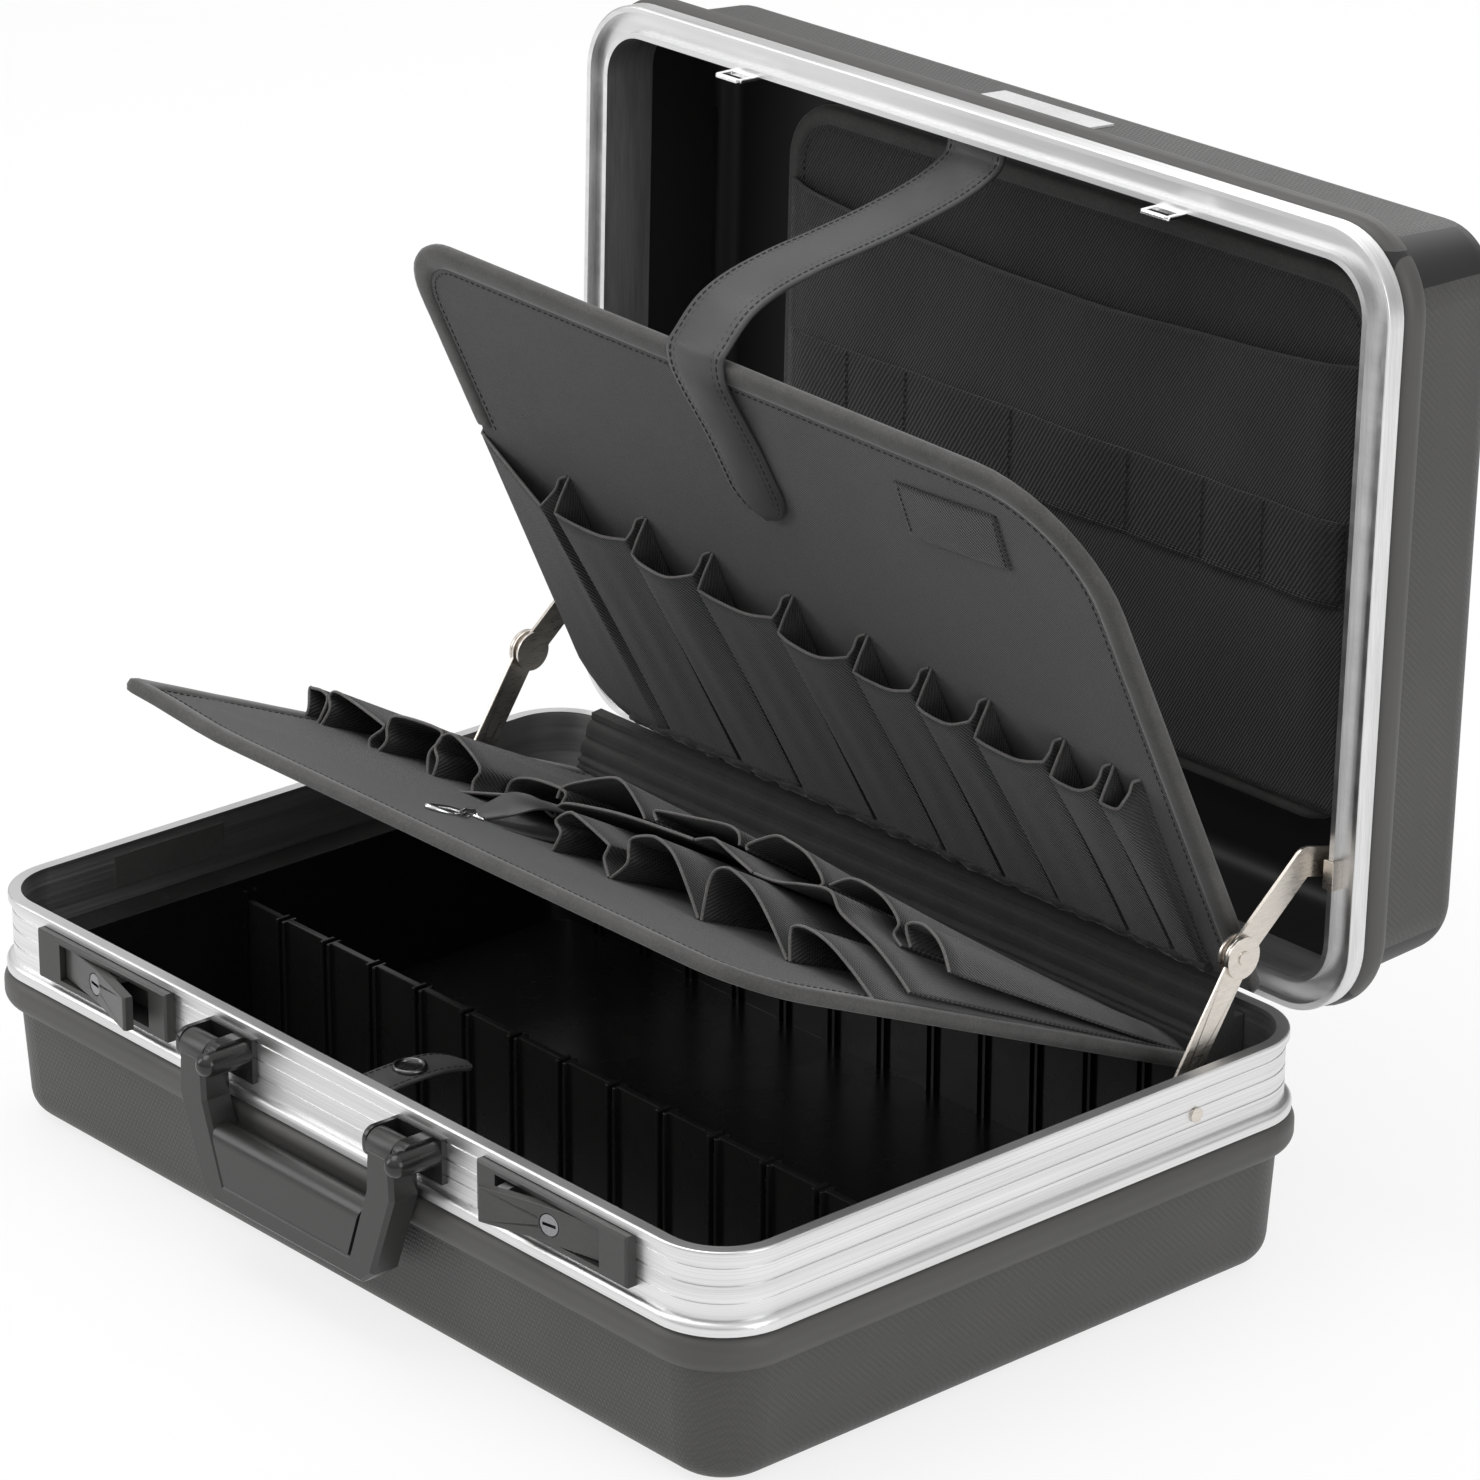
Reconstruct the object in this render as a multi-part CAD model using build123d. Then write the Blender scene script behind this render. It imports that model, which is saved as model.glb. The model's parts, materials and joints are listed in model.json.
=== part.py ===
from build123d import *
import math
import os

# Suitcase style tool case: two moulded plastic shells, each edged with an aluminium
# frame, joined by two hinges at the back. It stands open on its feet, with the lid a
# little past upright and two fabric tool boards fanned out between the halves.
# X runs along the case, Y from the front (handle) to the back, Z up, all in mm.
# While the pieces are drawn, y = 0 is the middle of the base and z = 0 is the floor.
# The finished pieces are then moved in Y so that the open case is centred on the origin.

# Base: opening, frame and shell
rim_width = 440.0            # inside width of the base frame
rim_depth = 298.0            # inside depth of the base frame
rim_corner = 24.0            # inside corner radius of the base frame
base_height = 98.5           # floor to the top of the base frame
frame_height = 33.0          # height of the base frame
frame_wall = 3.8             # wall of the base frame
tongue_reach = 5.3           # the top edge of the frame, measured out from its inner face
tongue_height = 3.5
flange_reach = 6.8           # the foot flange of the frame, out from its inner face
flange_height = 5.0
groove_depth = 0.4           # decorative lines rolled into the frame
groove_width = 0.8
groove_drops = (7.0, 14.0, 21.0)
bead_reach = 8.2             # the rounded shoulder of the shell, out from the frame's inner face
bead_height = 15.5
bead_round = 6.0
shell_offset = 1.7           # the textured shell wall lies this far outside the frame's inner face
shell_wall = 3.0
shell_draft = 3.3            # how much the shell draws in at its bottom
bottom_round = 12.0          # radius between the side walls and the bottom
foot_step = 2.5              # the foot pads stand this far below the bottom between them
foot_gap_half = 82.0         # half the gap between the left and right pads
foot_front_edge = -77.0      # back edge of the front pads
foot_rear_edge = 98.0        # front edge of the rear pads

# Liner tray and divider in the base
tray_drop = 25.0             # the tray's rim lies this far below the top of the frame
tray_inset = 15.0            # the tray's inner wall lies this far inside the frame's inner face
tray_wall = 3.0
tray_floor = 2.0
tray_corner = 11.0
fit_gap = 0.3                # gap left around pieces that drop in
slot_pitch = 30.0            # spacing of the divider slots
slot_width = 2.6
rib_width = 1.6
rib_reach = 2.0
divider_y = -34.6
divider_thick = 3.0
divider_drop = 35.0          # the divider's top edge below the top of the frame
notch_depth = 8.0

# Lid: it is drawn shut and then turned open about the hinge
lid_side_reach = 8.8         # outside of the lid frame at the ends, out from the base frame's inner face
lid_front_reach = 8.7        # the same at the front and back
lid_corner = 33.4            # outside corner radius of the lid frame
lid_band = 13.6              # outer face of the lid frame to its inner face
lid_lip = 2.4                # thickness of the inner lip
lid_outer_lip = 2.8
lid_overlap = 2.9            # the lid's lips reach this far below the top of the base frame
groove_room = 3.9            # depth of the groove that takes the base's top edge
web_thick = 2.1
lid_lip_height = 25.0        # how far the inner lip runs up inside the lid
lid_frame_height = 8.0       # height of the bright band outside
lid_bead_reach = 1.4         # the lid's shoulder stands this far outside the lid frame
lid_bead_height = 14.0
lid_bead_inset = 7.8         # the lid's textured wall lies this far inside its shoulder
lid_depth = 73.0             # lips to the outside of the lid's top
lid_rib_reach = 1.2          # a moulded rib runs along each end wall inside the lid
lid_rib_width = 2.0
lid_rib_height = 61.5        # up from the lips when shut
lid_rib_near = -100.0
lid_rib_far = 100.0

# Hinge
hinge_reach = 1.95           # the hinge axis behind the back of the lid frame
hinge_drop = 6.3             # the hinge axis below the top of the base frame
open_angle = 91.5            # how far the lid stands open
hinge_x = 140.0              # middle of each hinge
hinge_length = 60.0
knuckle_radius = 3.0
hinge_pin_radius = 1.25
pin_clearance = 0.05
leaf_thick = 1.2
knuckle_gap = 0.3
base_leaf_top_drop = 5.0
base_leaf_height = 15.0
rivet_radius = 1.5
base_rivet_inset = 9.0       # rivets in from the ends of a leaf
lid_rivet_inset = 2.0        # rivets in from the ends of the leaf's middle third

# Folding stays at the two ends
stay_width = 12.0
stay_thick = 1.4
stay_lid_gap = 4.3           # the upper arm's outer face to the inside of the lid frame
stay_base_before = 72.05     # base rivet in front of the hinge axis
stay_base_drop = 16.7        # base rivet below the top of the base frame
stay_mid_before = 38.05
stay_mid_rise = 34.4         # middle joint above the top of the base frame
stay_bend_before = 3.05
stay_bend_rise = 63.5
stay_end_behind = 20.35
stay_end_rise = 57.0
stay_disc_radius = 8.5
stay_disc_thick = 1.2
stay_rivet_radius = 2.0
stay_head_radius = 4.0
anchor_thick = 1.4

# Tool boards
upper_left_gap = 37.0        # upper board's edge to the base frame's inner face at the ends
upper_right_gap = 16.0
lower_side_gap = 30.0        # the same for the lower board, at both ends
board_thick = 3.0
upper_corner_left = 32.0     # corner radii at the boards' free ends
upper_corner_right = 56.0
lower_corner_left = 8.0
lower_corner_right = 34.0
upper_edge_fall = 16.0       # the upper board's free edge falls this much from left to right
binding_width = 7.0
binding_thick = 4.6
upper_hinge_inset = 7.0      # in front of the base frame's inner face at the back
upper_hinge_rise = 10.5      # above the top of the base frame
upper_angle = 115.0          # direction of the upper board, from +Y
upper_length = 254.0         # in the middle of the case
lower_hinge_inset = 21.0
lower_hinge_drop = 21.0      # below the top of the base frame
lower_angle = 156.3
lower_length = 257.0
spine_end_gap = 31.0         # the spine's ends to the base frame's inner face
spine_bottom_drop = 24.7

# Pockets on the upper board, which widen from their foot to a mouth that slopes
upper_seams = (-181.0, -131.0, -86.0, -48.0, -3.0, 38.0, 72.0, 103.0, 142.0, 167.0, 182.0)
upper_mouth_left = 156.0     # reach of the mouth from the hinge, at the left end of the board
upper_mouth_right = 104.5
upper_lip_drop = 10.0        # the front edge of a pocket lies this much lower than its back edge
upper_pocket_depth = 12.5
pocket_foot = 6.0            # distance from the hinge to the foot of every pocket
pocket_foot_depth = 2.5
seam_gap = 2.0
patch_left = 96.5
patch_right = 152.0
patch_near = 198.0
patch_far = 225.0
patch_thick = 1.2

# Pockets on the lower board, in three tiers: front, wide and back
# Each front and back pocket is (left seam, right seam, peak place, height of its lip)
front_mouth = 187.0
front_pockets = (
    (-7.0, 32.0, 0.30, 18.8), (34.0, 88.0, 0.30, 23.6), (90.0, 136.0, 0.15, 24.8),
    (138.0, 182.0, 0.10, 15.0),
)
front_foot_depth = 1.0
wide_mouth = 168.0
wide_pocket_rise = (
    (-86.0, 3.7), (-60.0, 9.5), (-43.0, 13.0), (-22.0, 16.0), (-8.0, 19.0), (6.0, 22.0),
    (29.0, 25.0), (54.0, 26.0), (66.0, 29.0), (75.0, 28.5), (101.0, 26.5), (117.0, 28.0),
    (130.0, 29.0), (139.0, 24.5), (158.0, 18.0), (172.0, 13.0), (182.0, 9.0),
)
wide_thick = 2.2
wide_foot_depth = 1.2
back_mouth = 150.0
back_mouth_left = 165.0      # the four pockets beside the wide one reach further
back_pockets_left = (
    (-182.0, -172.0, 0.30, 18.0), (-170.0, -136.0, 0.40, 19.5),
    (-134.0, -99.0, 0.30, 23.0), (-97.0, -87.5, 0.30, 16.4),
)
back_pockets_right = (
    (-85.0, -43.0, 0.20, 19.0), (-41.0, 8.0, 0.58, 32.0), (10.0, 61.0, 0.65, 34.0),
    (63.0, 110.0, 0.35, 36.8), (112.0, 155.0, 0.30, 33.5), (157.0, 182.0, 0.15, 29.0),
)

# Carry strap from the upper board to the lid
strap_width = 32.0
strap_thick = 2.4
strap_start = 178.0          # where the strap is sewn on, from the upper board's hinge
strap_lid_reach = 17.0       # how far inside the lid it is fixed, up from the lips when shut
# The hanging part of the strap: places along the line between its ends, and rises above it
strap_sag = ((0.07, 3.8), (0.18, 5.7), (0.32, 3.5), (0.57, -2.4), (0.70, -5.1), (0.82, -6.2), (0.92, -5.0))

# Front strap with press stud, clip strap with snap hook
front_strap_x = 21.0
front_strap_width = 16.0
front_strap_length = 48.0
front_strap_drop = 3.0
front_strap_thick = 1.6
stud_radius = 5.5
stud_reach = 20.0            # from the front wall to the middle of the stud
clip_x = -31.0
clip_length = 30.0
clip_width = 22.0
clip_thick = 2.6
clip_rise = 12.0             # height of the strap's sewn end above the board
snap_length = 34.0
snap_width = 9.0
snap_thick = 4.0

# Handle
handle_middle = -3.5
arm_pitch = 115.6            # spacing of the two arms
arm_width = 14.4
pivot_reach = 12.2           # the handle's pivots in front of the base frame
pivot_drop = 12.0
pivot_pin_radius = 2.0
arm_head_radius = 6.2
bracket_top_drop = 5.6
bracket_bottom_drop = 24.0
bracket_plate = 2.6
cheek_thick = 2.2
boss_radius = 4.8
boss_reach = 20.2
boss_drop = 12.0
arm_side_gap = 0.5
handle_drop = 71.0           # bottom of the handle below the top of the base frame
handle_knee_drop = 30.0      # the arms run straight down to here and then draw in
handle_taper = 12.0          # how far each arm draws in above the bottom bar
grip_top_drop = 39.0
grip_bottom_drop = 61.5
handle_front_reach = 18.7
handle_back_reach = 6.2

# Latches
latch_middle = 138.0
latch_width = 85.0
latch_top_drop = 3.8
latch_bottom_drop = 24.5
latch_reach = 5.0            # how far the housing stands out of the frame wall
window_inner = 106.5         # window of the housing, from the middle of the case
window_outer = 165.5
window_top_drop = 6.0
window_bottom_drop = 21.5
pocket_depth = 5.2           # back of the latch pocket, in from the base frame's outer face
pocket_cover = 1.0
pocket_skin = 0.9
lever_gap = 0.6
lever_thick = 4.3
lever_fold = 137.0
lever_rise = 3.1             # the finger end stands this far proud of the rest
lever_pivot = 150.0
lever_open = 10.0            # how far the levers stand open at rest
lever_pin_radius = 1.2
lock_x = 139.0
lock_radius = 4.3
lock_gap = 0.3
lock_recess = 0.5            # the lock cylinder ends this far inside the back of its lever
key_slot = 1.3
hook_left_x = 129.4          # middle of the left hook and catch loop, from the middle of the case
hook_right_x = 114.8
catch_hook_width = 5.0
hook_top_drop = 7.2
hook_bottom_drop = 9.8
hook_depth = 11.5            # tip of the hook, in from the base frame's outer face

# Catch loops on the lid
loop_width = 15.5
loop_thick = 1.5
loop_reach = 10.0            # how far the loops hang below the lid's lips when shut
loop_bar = 2.3

# Document panel in the lid, with its pocket and elastic band
panel_end_gap = 45.2         # panel's edge to the inside of the lid frame at the ends
panel_depth = 61.5           # front of the panel, up from the lips when shut
panel_front_gap = 27.1       # the same at the front and at the back, when shut
panel_back_gap = 33.1
panel_corner = 28.0
panel_standoff = 1.5
panel_seat_inset = 30.0      # the panel's glued seat, in from its edges
doc_pocket_foot_gap = 7.0    # the pocket's sewn foot to the panel's edge
doc_pocket_mouth = -80.0
doc_pocket_side = 6.0        # the pocket ends this far inside the panel's ends
doc_pocket_bulge = 7.0       # how far the pocket stands off the panel at its mouth
doc_pocket_hem = 2.0         # and at its far edge
band_near = -18.0
band_far = 17.0
band_thick = 1.4
badge_half_width = 31.0
badge_low = 38.0
badge_high = 52.0
badge_thick = 0.8

# Label on the inside of the left wall
label_front = -91.0
label_back = -36.0
label_top_drop = 4.5
label_bottom_drop = 18.0
label_thick = 0.5

# Worked out from the sizes above
half_x = rim_width / 2
half_y = rim_depth / 2
rim_top = base_height
frame_foot = rim_top - frame_height
bead_foot = frame_foot - bead_height
hinge_z = rim_top - hinge_drop
lip_z = rim_top - lid_overlap
lid_half_width = half_x + lid_side_reach
lid_half_depth = half_y + lid_front_reach
inner_lid_x = lid_half_width - lid_band
inner_lid_y = lid_half_depth - lid_band
inner_lid_corner = lid_corner - lid_band
lid_top_z = lip_z + lid_depth
front_wall_y = -(half_y + frame_wall)
rear_wall_y = half_y + frame_wall
latch_front_y = front_wall_y - latch_reach
hinge_y = lid_half_depth + hinge_reach
stay_upper_plane = inner_lid_x - stay_lid_gap
stay_plane = stay_upper_plane + fit_gap + stay_thick
stay_base_y = hinge_y - stay_base_before
stay_mid_y = hinge_y - stay_mid_before
stay_bend_y = hinge_y - stay_bend_before
stay_end_y = hinge_y + stay_end_behind
upper_left = half_x - upper_left_gap
upper_right = half_x - upper_right_gap
lower_half_width = half_x - lower_side_gap
upper_fall_rate = upper_edge_fall / (upper_left + upper_right)
upper_hinge_y = half_y - upper_hinge_inset
lower_hinge_y = half_y - lower_hinge_inset
spine_half_width = half_x - spine_end_gap
panel_half_width = inner_lid_x - panel_end_gap
panel_near = panel_front_gap - inner_lid_y
panel_far = inner_lid_y - panel_back_gap
doc_pocket_far = panel_far - doc_pocket_foot_gap
pivot_y = front_wall_y - pivot_reach
boss_front_y = front_wall_y - boss_reach
handle_front_y = front_wall_y - handle_front_reach
handle_back_y = front_wall_y - handle_back_reach
pocket_back_y = front_wall_y + pocket_depth
hook_tip_y = front_wall_y + hook_depth
front_reach = boss_front_y - boss_radius
open_lid_lean = math.radians(open_angle)
lid_flat_half = lid_half_depth - (lid_bead_inset - lid_bead_reach) - shell_draft - bottom_round
rear_reach = (
    hinge_y
    + (lid_top_z - hinge_z) * math.sin(open_lid_lean)
    - (hinge_y + lid_flat_half) * math.cos(open_lid_lean)
)
centre_shift = -(front_reach + rear_reach) / 2
hinge_line = Axis((0, hinge_y, hinge_z), (1, 0, 0))


# Small helpers

def block(x0, x1, y0, y1, z0, z1):
    """A box between the given limits."""
    return Pos((x0 + x1) / 2, (y0 + y1) / 2, (z0 + z1) / 2) * Box(
        abs(x1 - x0), abs(y1 - y0), abs(z1 - z0)
    )


def slab(hx, hy, corner, z0, z1):
    """A rounded rectangular plate between two heights."""
    face = RectangleRounded(2 * hx, 2 * hy, corner)
    return Pos(0, 0, z0) * extrude(face, z1 - z0)


def tapered(hx0, hy0, c0, z0, hx1, hy1, c1, z1):
    """A rounded rectangular body that widens evenly from z0 to z1."""
    low = Pos(0, 0, z0) * RectangleRounded(2 * hx0, 2 * hy0, c0)
    high = Pos(0, 0, z1) * RectangleRounded(2 * hx1, 2 * hy1, c1)
    return loft([low, high], ruled=True)


def prism_x(points, x0, x1):
    """A solid with the given outline in (y, z), running from x0 to x1."""
    wire = Wire.make_polygon([Vector(x0, y, z) for y, z in points])
    return Solid.extrude(Face(wire), Vector(x1 - x0, 0, 0))


def prism_z(points, z0, z1):
    """A solid with the given outline in (x, y), running from z0 to z1."""
    wire = Wire.make_polygon([Vector(x, y, z0) for x, y in points])
    return Solid.extrude(Face(wire), Vector(0, 0, z1 - z0))


def prism_y(points, y0, y1):
    """A solid with the given outline in (x, z), running from y0 to y1."""
    wire = Wire.make_polygon([Vector(x, y0, z) for x, z in points])
    return Solid.extrude(Face(wire), Vector(0, y1 - y0, 0))


def rod_x(x0, x1, y, z, radius):
    """A round bar along X."""
    return Pos((x0 + x1) / 2, y, z) * Rot(0, 90, 0) * Cylinder(radius, abs(x1 - x0))


def rod_y(x, y0, y1, z, radius):
    """A round bar along Y."""
    return Pos(x, (y0 + y1) / 2, z) * Rot(90, 0, 0) * Cylinder(radius, abs(y1 - y0))


def rod_z(x, y, z0, z1, radius):
    """A round bar along Z."""
    return Pos(x, y, (z0 + z1) / 2) * Cylinder(radius, abs(z1 - z0))


def opened(shape):
    """Turn a piece of the shut lid to its open place."""
    return shape.rotate(hinge_line, -open_angle)


def lid_place(y, z):
    """Where a point of the shut lid lies once the lid is open."""
    dy = y - hinge_y
    dz = z - hinge_z
    c = math.cos(open_lid_lean)
    s = math.sin(open_lid_lean)
    return hinge_y + dy * c + dz * s, hinge_z - dy * s + dz * c


def mirrored(shape):
    """The left hand copy of a piece drawn on the right."""
    return mirror(shape, about=Plane.YZ)


def board_plane(y, z, angle):
    """Plane of a board: local x along the case, local y away from the hinge line."""
    a = math.radians(angle)
    return Plane(origin=(0, y, z), x_dir=(1, 0, 0), z_dir=(0, -math.sin(a), math.cos(a)))


upper_plane = board_plane(upper_hinge_y, rim_top + upper_hinge_rise, upper_angle)
lower_plane = board_plane(lower_hinge_y, rim_top - lower_hinge_drop, lower_angle)


# Base shell and frame

def base_shell():
    corner = rim_corner + shell_offset
    top_x = half_x + shell_offset
    top_y = half_y + shell_offset
    body = tapered(
        top_x - shell_draft, top_y - shell_draft, corner - shell_draft, 0,
        top_x, top_y, corner, bead_foot,
    )
    body = fillet(body.edges().group_by(Axis.Z)[0], bottom_round)
    bead = slab(half_x + bead_reach, half_y + bead_reach, rim_corner + bead_reach, bead_foot, frame_foot)
    ends = bead.edges().group_by(Axis.Z)
    bead = fillet(ends[0] + ends[-1], bead_round)
    floor_z = foot_step + shell_wall
    hollow = tapered(
        top_x - shell_draft - shell_wall, top_y - shell_draft - shell_wall,
        corner - shell_draft - shell_wall, floor_z,
        top_x - shell_wall, top_y - shell_wall, corner - shell_wall, frame_foot + 1,
    )
    hollow = fillet(hollow.edges().group_by(Axis.Z)[0], bottom_round - shell_wall)
    long_recess = block(-foot_gap_half, foot_gap_half, -half_y, half_y, -1, foot_step)
    cross_recess = block(-half_x, half_x, foot_front_edge, foot_rear_edge, -1, foot_step)
    return body + bead - hollow - long_recess - cross_recess


def frame_ring(reach_out, reach_in, z0, z1):
    """A ring that follows the base frame between two offsets from its inner face."""
    outer = slab(half_x + reach_out, half_y + reach_out, rim_corner + reach_out, z0, z1)
    inner = slab(half_x + reach_in, half_y + reach_in, rim_corner + reach_in, z0 - 1, z1 + 1)
    return outer - inner


def base_frame():
    tongue_foot = rim_top - tongue_height
    wall = slab(half_x + frame_wall, half_y + frame_wall, rim_corner + frame_wall, frame_foot, rim_top)
    tongue = slab(
        half_x + tongue_reach, half_y + tongue_reach, rim_corner + tongue_reach, tongue_foot, rim_top
    )
    flange = slab(
        half_x + flange_reach, half_y + flange_reach, rim_corner + flange_reach,
        frame_foot, frame_foot + flange_height,
    )
    flange = fillet(flange.edges().group_by(Axis.Z)[-1], flange_reach - frame_wall - 0.4)
    tongue = fillet(tongue.edges().group_by(Axis.Z)[-1], 0.9)
    body = wall + tongue + flange
    body -= slab(half_x, half_y, rim_corner, frame_foot - 1, rim_top + 1)
    for drop in groove_drops:
        middle = rim_top - drop
        body -= frame_ring(
            frame_wall + 1, frame_wall - groove_depth, middle - groove_width / 2, middle + groove_width / 2
        )
    window = block(
        window_inner - pocket_skin - fit_gap, window_outer + pocket_skin + fit_gap,
        front_wall_y - 1, -half_y + 1,
        rim_top - window_bottom_drop - pocket_skin - fit_gap,
        rim_top - window_top_drop + pocket_skin + fit_gap,
    )
    rivet_bore = rod_x(
        half_x - 1, half_x + frame_wall + 1, stay_base_y, rim_top - stay_base_drop, stay_rivet_radius,
    )
    body -= [window, mirrored(window), rivet_bore, mirrored(rivet_bore)]
    body -= [rod_y(x, rear_wall_y + 1, half_y - 1, z, rivet_radius) for x, z in base_rivet_places()]
    return body


# Liner tray and divider

def slot_places():
    count = int((half_x - tray_inset - slot_pitch / 2) // slot_pitch)
    return [slot_pitch * i for i in range(-count, count + 1)]


def rib_pair(x, y0, y1, z0, z1):
    """Two small ribs with a divider slot between them."""
    inner = slot_width / 2
    outer = inner + rib_width
    return [block(x - outer, x - inner, y0, y1, z0, z1), block(x + inner, x + outer, y0, y1, z0, z1)]


def liner_tray():
    shelf_z = rim_top - tray_drop
    inner_x = half_x - tray_inset
    inner_y = half_y - tray_inset
    bottom = foot_step + shell_wall
    body = slab(inner_x + tray_wall, inner_y + tray_wall, tray_corner + tray_wall, bottom, shelf_z)
    body = fillet(body.edges().group_by(Axis.Z)[0], tray_wall + tray_floor)
    rim = slab(half_x - fit_gap, half_y - fit_gap, rim_corner - fit_gap, frame_foot, shelf_z)
    hollow = slab(inner_x, inner_y, tray_corner, bottom + tray_floor, shelf_z + 1)
    tray = body + rim - hollow
    rib_top = shelf_z - 5
    rib_foot = bottom + tray_floor
    ribs = []
    for x in slot_places():
        ribs += rib_pair(x, -inner_y - 0.5, -inner_y + rib_reach, rib_foot - 0.5, rib_top)
        ribs += rib_pair(x, inner_y - rib_reach, inner_y + 0.5, rib_foot - 0.5, rib_top)
    half_slot = divider_thick / 2 + fit_gap
    for side in (-1, 1):
        face = side * inner_x
        for edge in (-1, 1):
            y0 = divider_y + edge * half_slot
            ribs.append(
                block(
                    face - side * rib_reach, face + side * 0.5, y0, y0 + edge * rib_width, rib_foot - 0.5,
                    rib_top,
                )
            )
    return tray + ribs


def long_divider():
    bottom = foot_step + shell_wall + tray_floor
    top = rim_top - divider_drop
    end = half_x - tray_inset - fit_gap
    y0 = divider_y - divider_thick / 2
    y1 = divider_y + divider_thick / 2
    plate = block(-end, end, y0, y1, bottom, top)
    ribs = []
    notches = []
    for x in slot_places():
        ribs += rib_pair(x, y0 - rib_reach, y0 + 0.5, bottom, top)
        ribs += rib_pair(x, y1 - 0.5, y1 + rib_reach, bottom, top)
        notches.append(
            block(x - slot_width / 2, x + slot_width / 2, y0 - 1, y1 + 1, top - notch_depth, top + 1)
        )
    return plate + ribs - notches


def inner_label():
    top = rim_top - label_top_drop
    low = rim_top - label_bottom_drop
    return block(-half_x, -half_x + label_thick, label_front, label_back, low, top)


# Lid

def lid_slab(inset, z0, z1):
    """A plate whose outline lies the given distance inside the lid frame."""
    return slab(lid_half_width - inset, lid_half_depth - inset, lid_corner - inset, z0, z1)


def lid_frame():
    groove_top = lip_z + groove_room
    outer = lid_slab(0, lip_z, lip_z + lid_frame_height)
    outer = fillet(outer.edges().group_by(Axis.Z)[0], 0.9)
    lip = lid_slab(lid_band - lid_lip, lip_z, lip_z + lid_lip_height)
    body = outer + lip
    groove = lid_slab(lid_outer_lip, lip_z - 1, groove_top) - lid_slab(
        lid_band - lid_lip, lip_z - 2, groove_top + 1,
    )
    behind = lid_slab(lid_outer_lip, groove_top + web_thick, lip_z + lid_frame_height + 1)
    behind -= lid_slab(lid_band - lid_lip, lip_z, lip_z + lid_lip_height)
    body -= groove
    body -= behind
    body -= lid_slab(lid_band, lip_z - 1, lip_z + lid_lip_height + 1)
    return opened(body - lid_rivet_bores())


def lid_shell_outer(grow):
    """The lid's textured walls and top, made larger all round by the given amount."""
    inset = lid_bead_inset - lid_bead_reach - grow
    foot = lip_z + lid_frame_height + lid_bead_height / 2
    hx = lid_half_width - inset
    hy = lid_half_depth - inset
    corner = lid_corner - inset
    top = lid_top_z + grow
    body = tapered(
        hx, hy, corner, foot, hx - shell_draft, hy - shell_draft, corner - shell_draft, top
    )
    return fillet(body.edges().group_by(Axis.Z)[-1], bottom_round)


def lid_shell():
    foot = lip_z + lid_frame_height
    inset = lid_bead_inset - lid_bead_reach
    bead = lid_slab(-lid_bead_reach, foot, foot + lid_bead_height)
    ends = bead.edges().group_by(Axis.Z)
    bead = fillet(ends[0] + ends[-1], bead_round)
    corner = lid_corner - inset - shell_wall
    hx = lid_half_width - inset - shell_wall
    hy = lid_half_depth - inset - shell_wall
    hollow = tapered(
        hx, hy, corner, foot - 1,
        hx - shell_draft, hy - shell_draft, corner - shell_draft, lid_top_z - shell_wall,
    )
    hollow = fillet(hollow.edges().group_by(Axis.Z)[-1], bottom_round - shell_wall)
    lip_room = lid_slab(lid_band - lid_lip, foot - 1, lip_z + lid_lip_height + fit_gap)
    body = lid_shell_outer(0) + bead - hollow - lip_room
    rib_z = lip_z + lid_rib_height
    wall_x = hx - shell_draft * (rib_z - foot) / (lid_top_z - foot)
    for side in (-1, 1):
        face = side * wall_x
        body += block(
            face - side * lid_rib_reach, face + side, lid_rib_near, lid_rib_far,
            rib_z - lid_rib_width / 2, rib_z + lid_rib_width / 2,
        )
    return opened(body)


def badge_plate():
    low = lip_z + badge_low
    high = lip_z + badge_high
    region = block(-badge_half_width, badge_half_width, -lid_half_depth, -inner_lid_y + 4, low, high)
    return opened(lid_shell_outer(badge_thick) & region - lid_shell_outer(0))


def catch_loop(x):
    y0 = -inner_lid_y
    y1 = y0 + loop_thick
    low = lip_z - loop_reach
    high = lip_z + lid_frame_height
    body = block(x - loop_width / 2, x + loop_width / 2, y0, y1, low, high)
    window = block(
        x - loop_width / 2 + loop_bar, x + loop_width / 2 - loop_bar, y0 - 1, y1 + 1,
        low + loop_bar, lip_z - loop_bar,
    )
    body = fillet(body.edges().filter_by(Axis.Y).group_by(Axis.Z)[0], 2.0)
    return opened(body - window)


def document_panel():
    front_z = lip_z + panel_depth
    back_z = lid_top_z - shell_wall - panel_standoff
    body = Pos(0, (panel_near + panel_far) / 2, front_z) * extrude(
        RectangleRounded(2 * panel_half_width, panel_far - panel_near, panel_corner), back_z - front_z
    )
    body = fillet(body.edges().group_by(Axis.Z)[0], 2.0)
    seat = Pos(0, (panel_near + panel_far) / 2, back_z) * extrude(
        Rectangle(
            2 * (panel_half_width - panel_seat_inset), panel_far - panel_near - 2 * panel_seat_inset,
        ), panel_standoff
    )
    return opened(body + seat)


def doc_pocket_face(y):
    """Height of the document pocket's front at a place along it, with the lid shut."""
    share = (y - doc_pocket_mouth) / (doc_pocket_far - doc_pocket_mouth)
    return lip_z + panel_depth - doc_pocket_bulge - share * (doc_pocket_hem - doc_pocket_bulge)


def document_pocket():
    front_z = lip_z + panel_depth
    points = [
        (doc_pocket_far, front_z), (doc_pocket_mouth, front_z),
        (doc_pocket_mouth, doc_pocket_face(doc_pocket_mouth)),
        (doc_pocket_far, doc_pocket_face(doc_pocket_far)),
    ]
    half = panel_half_width - doc_pocket_side
    return opened(prism_x(points, -half, half))


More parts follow.
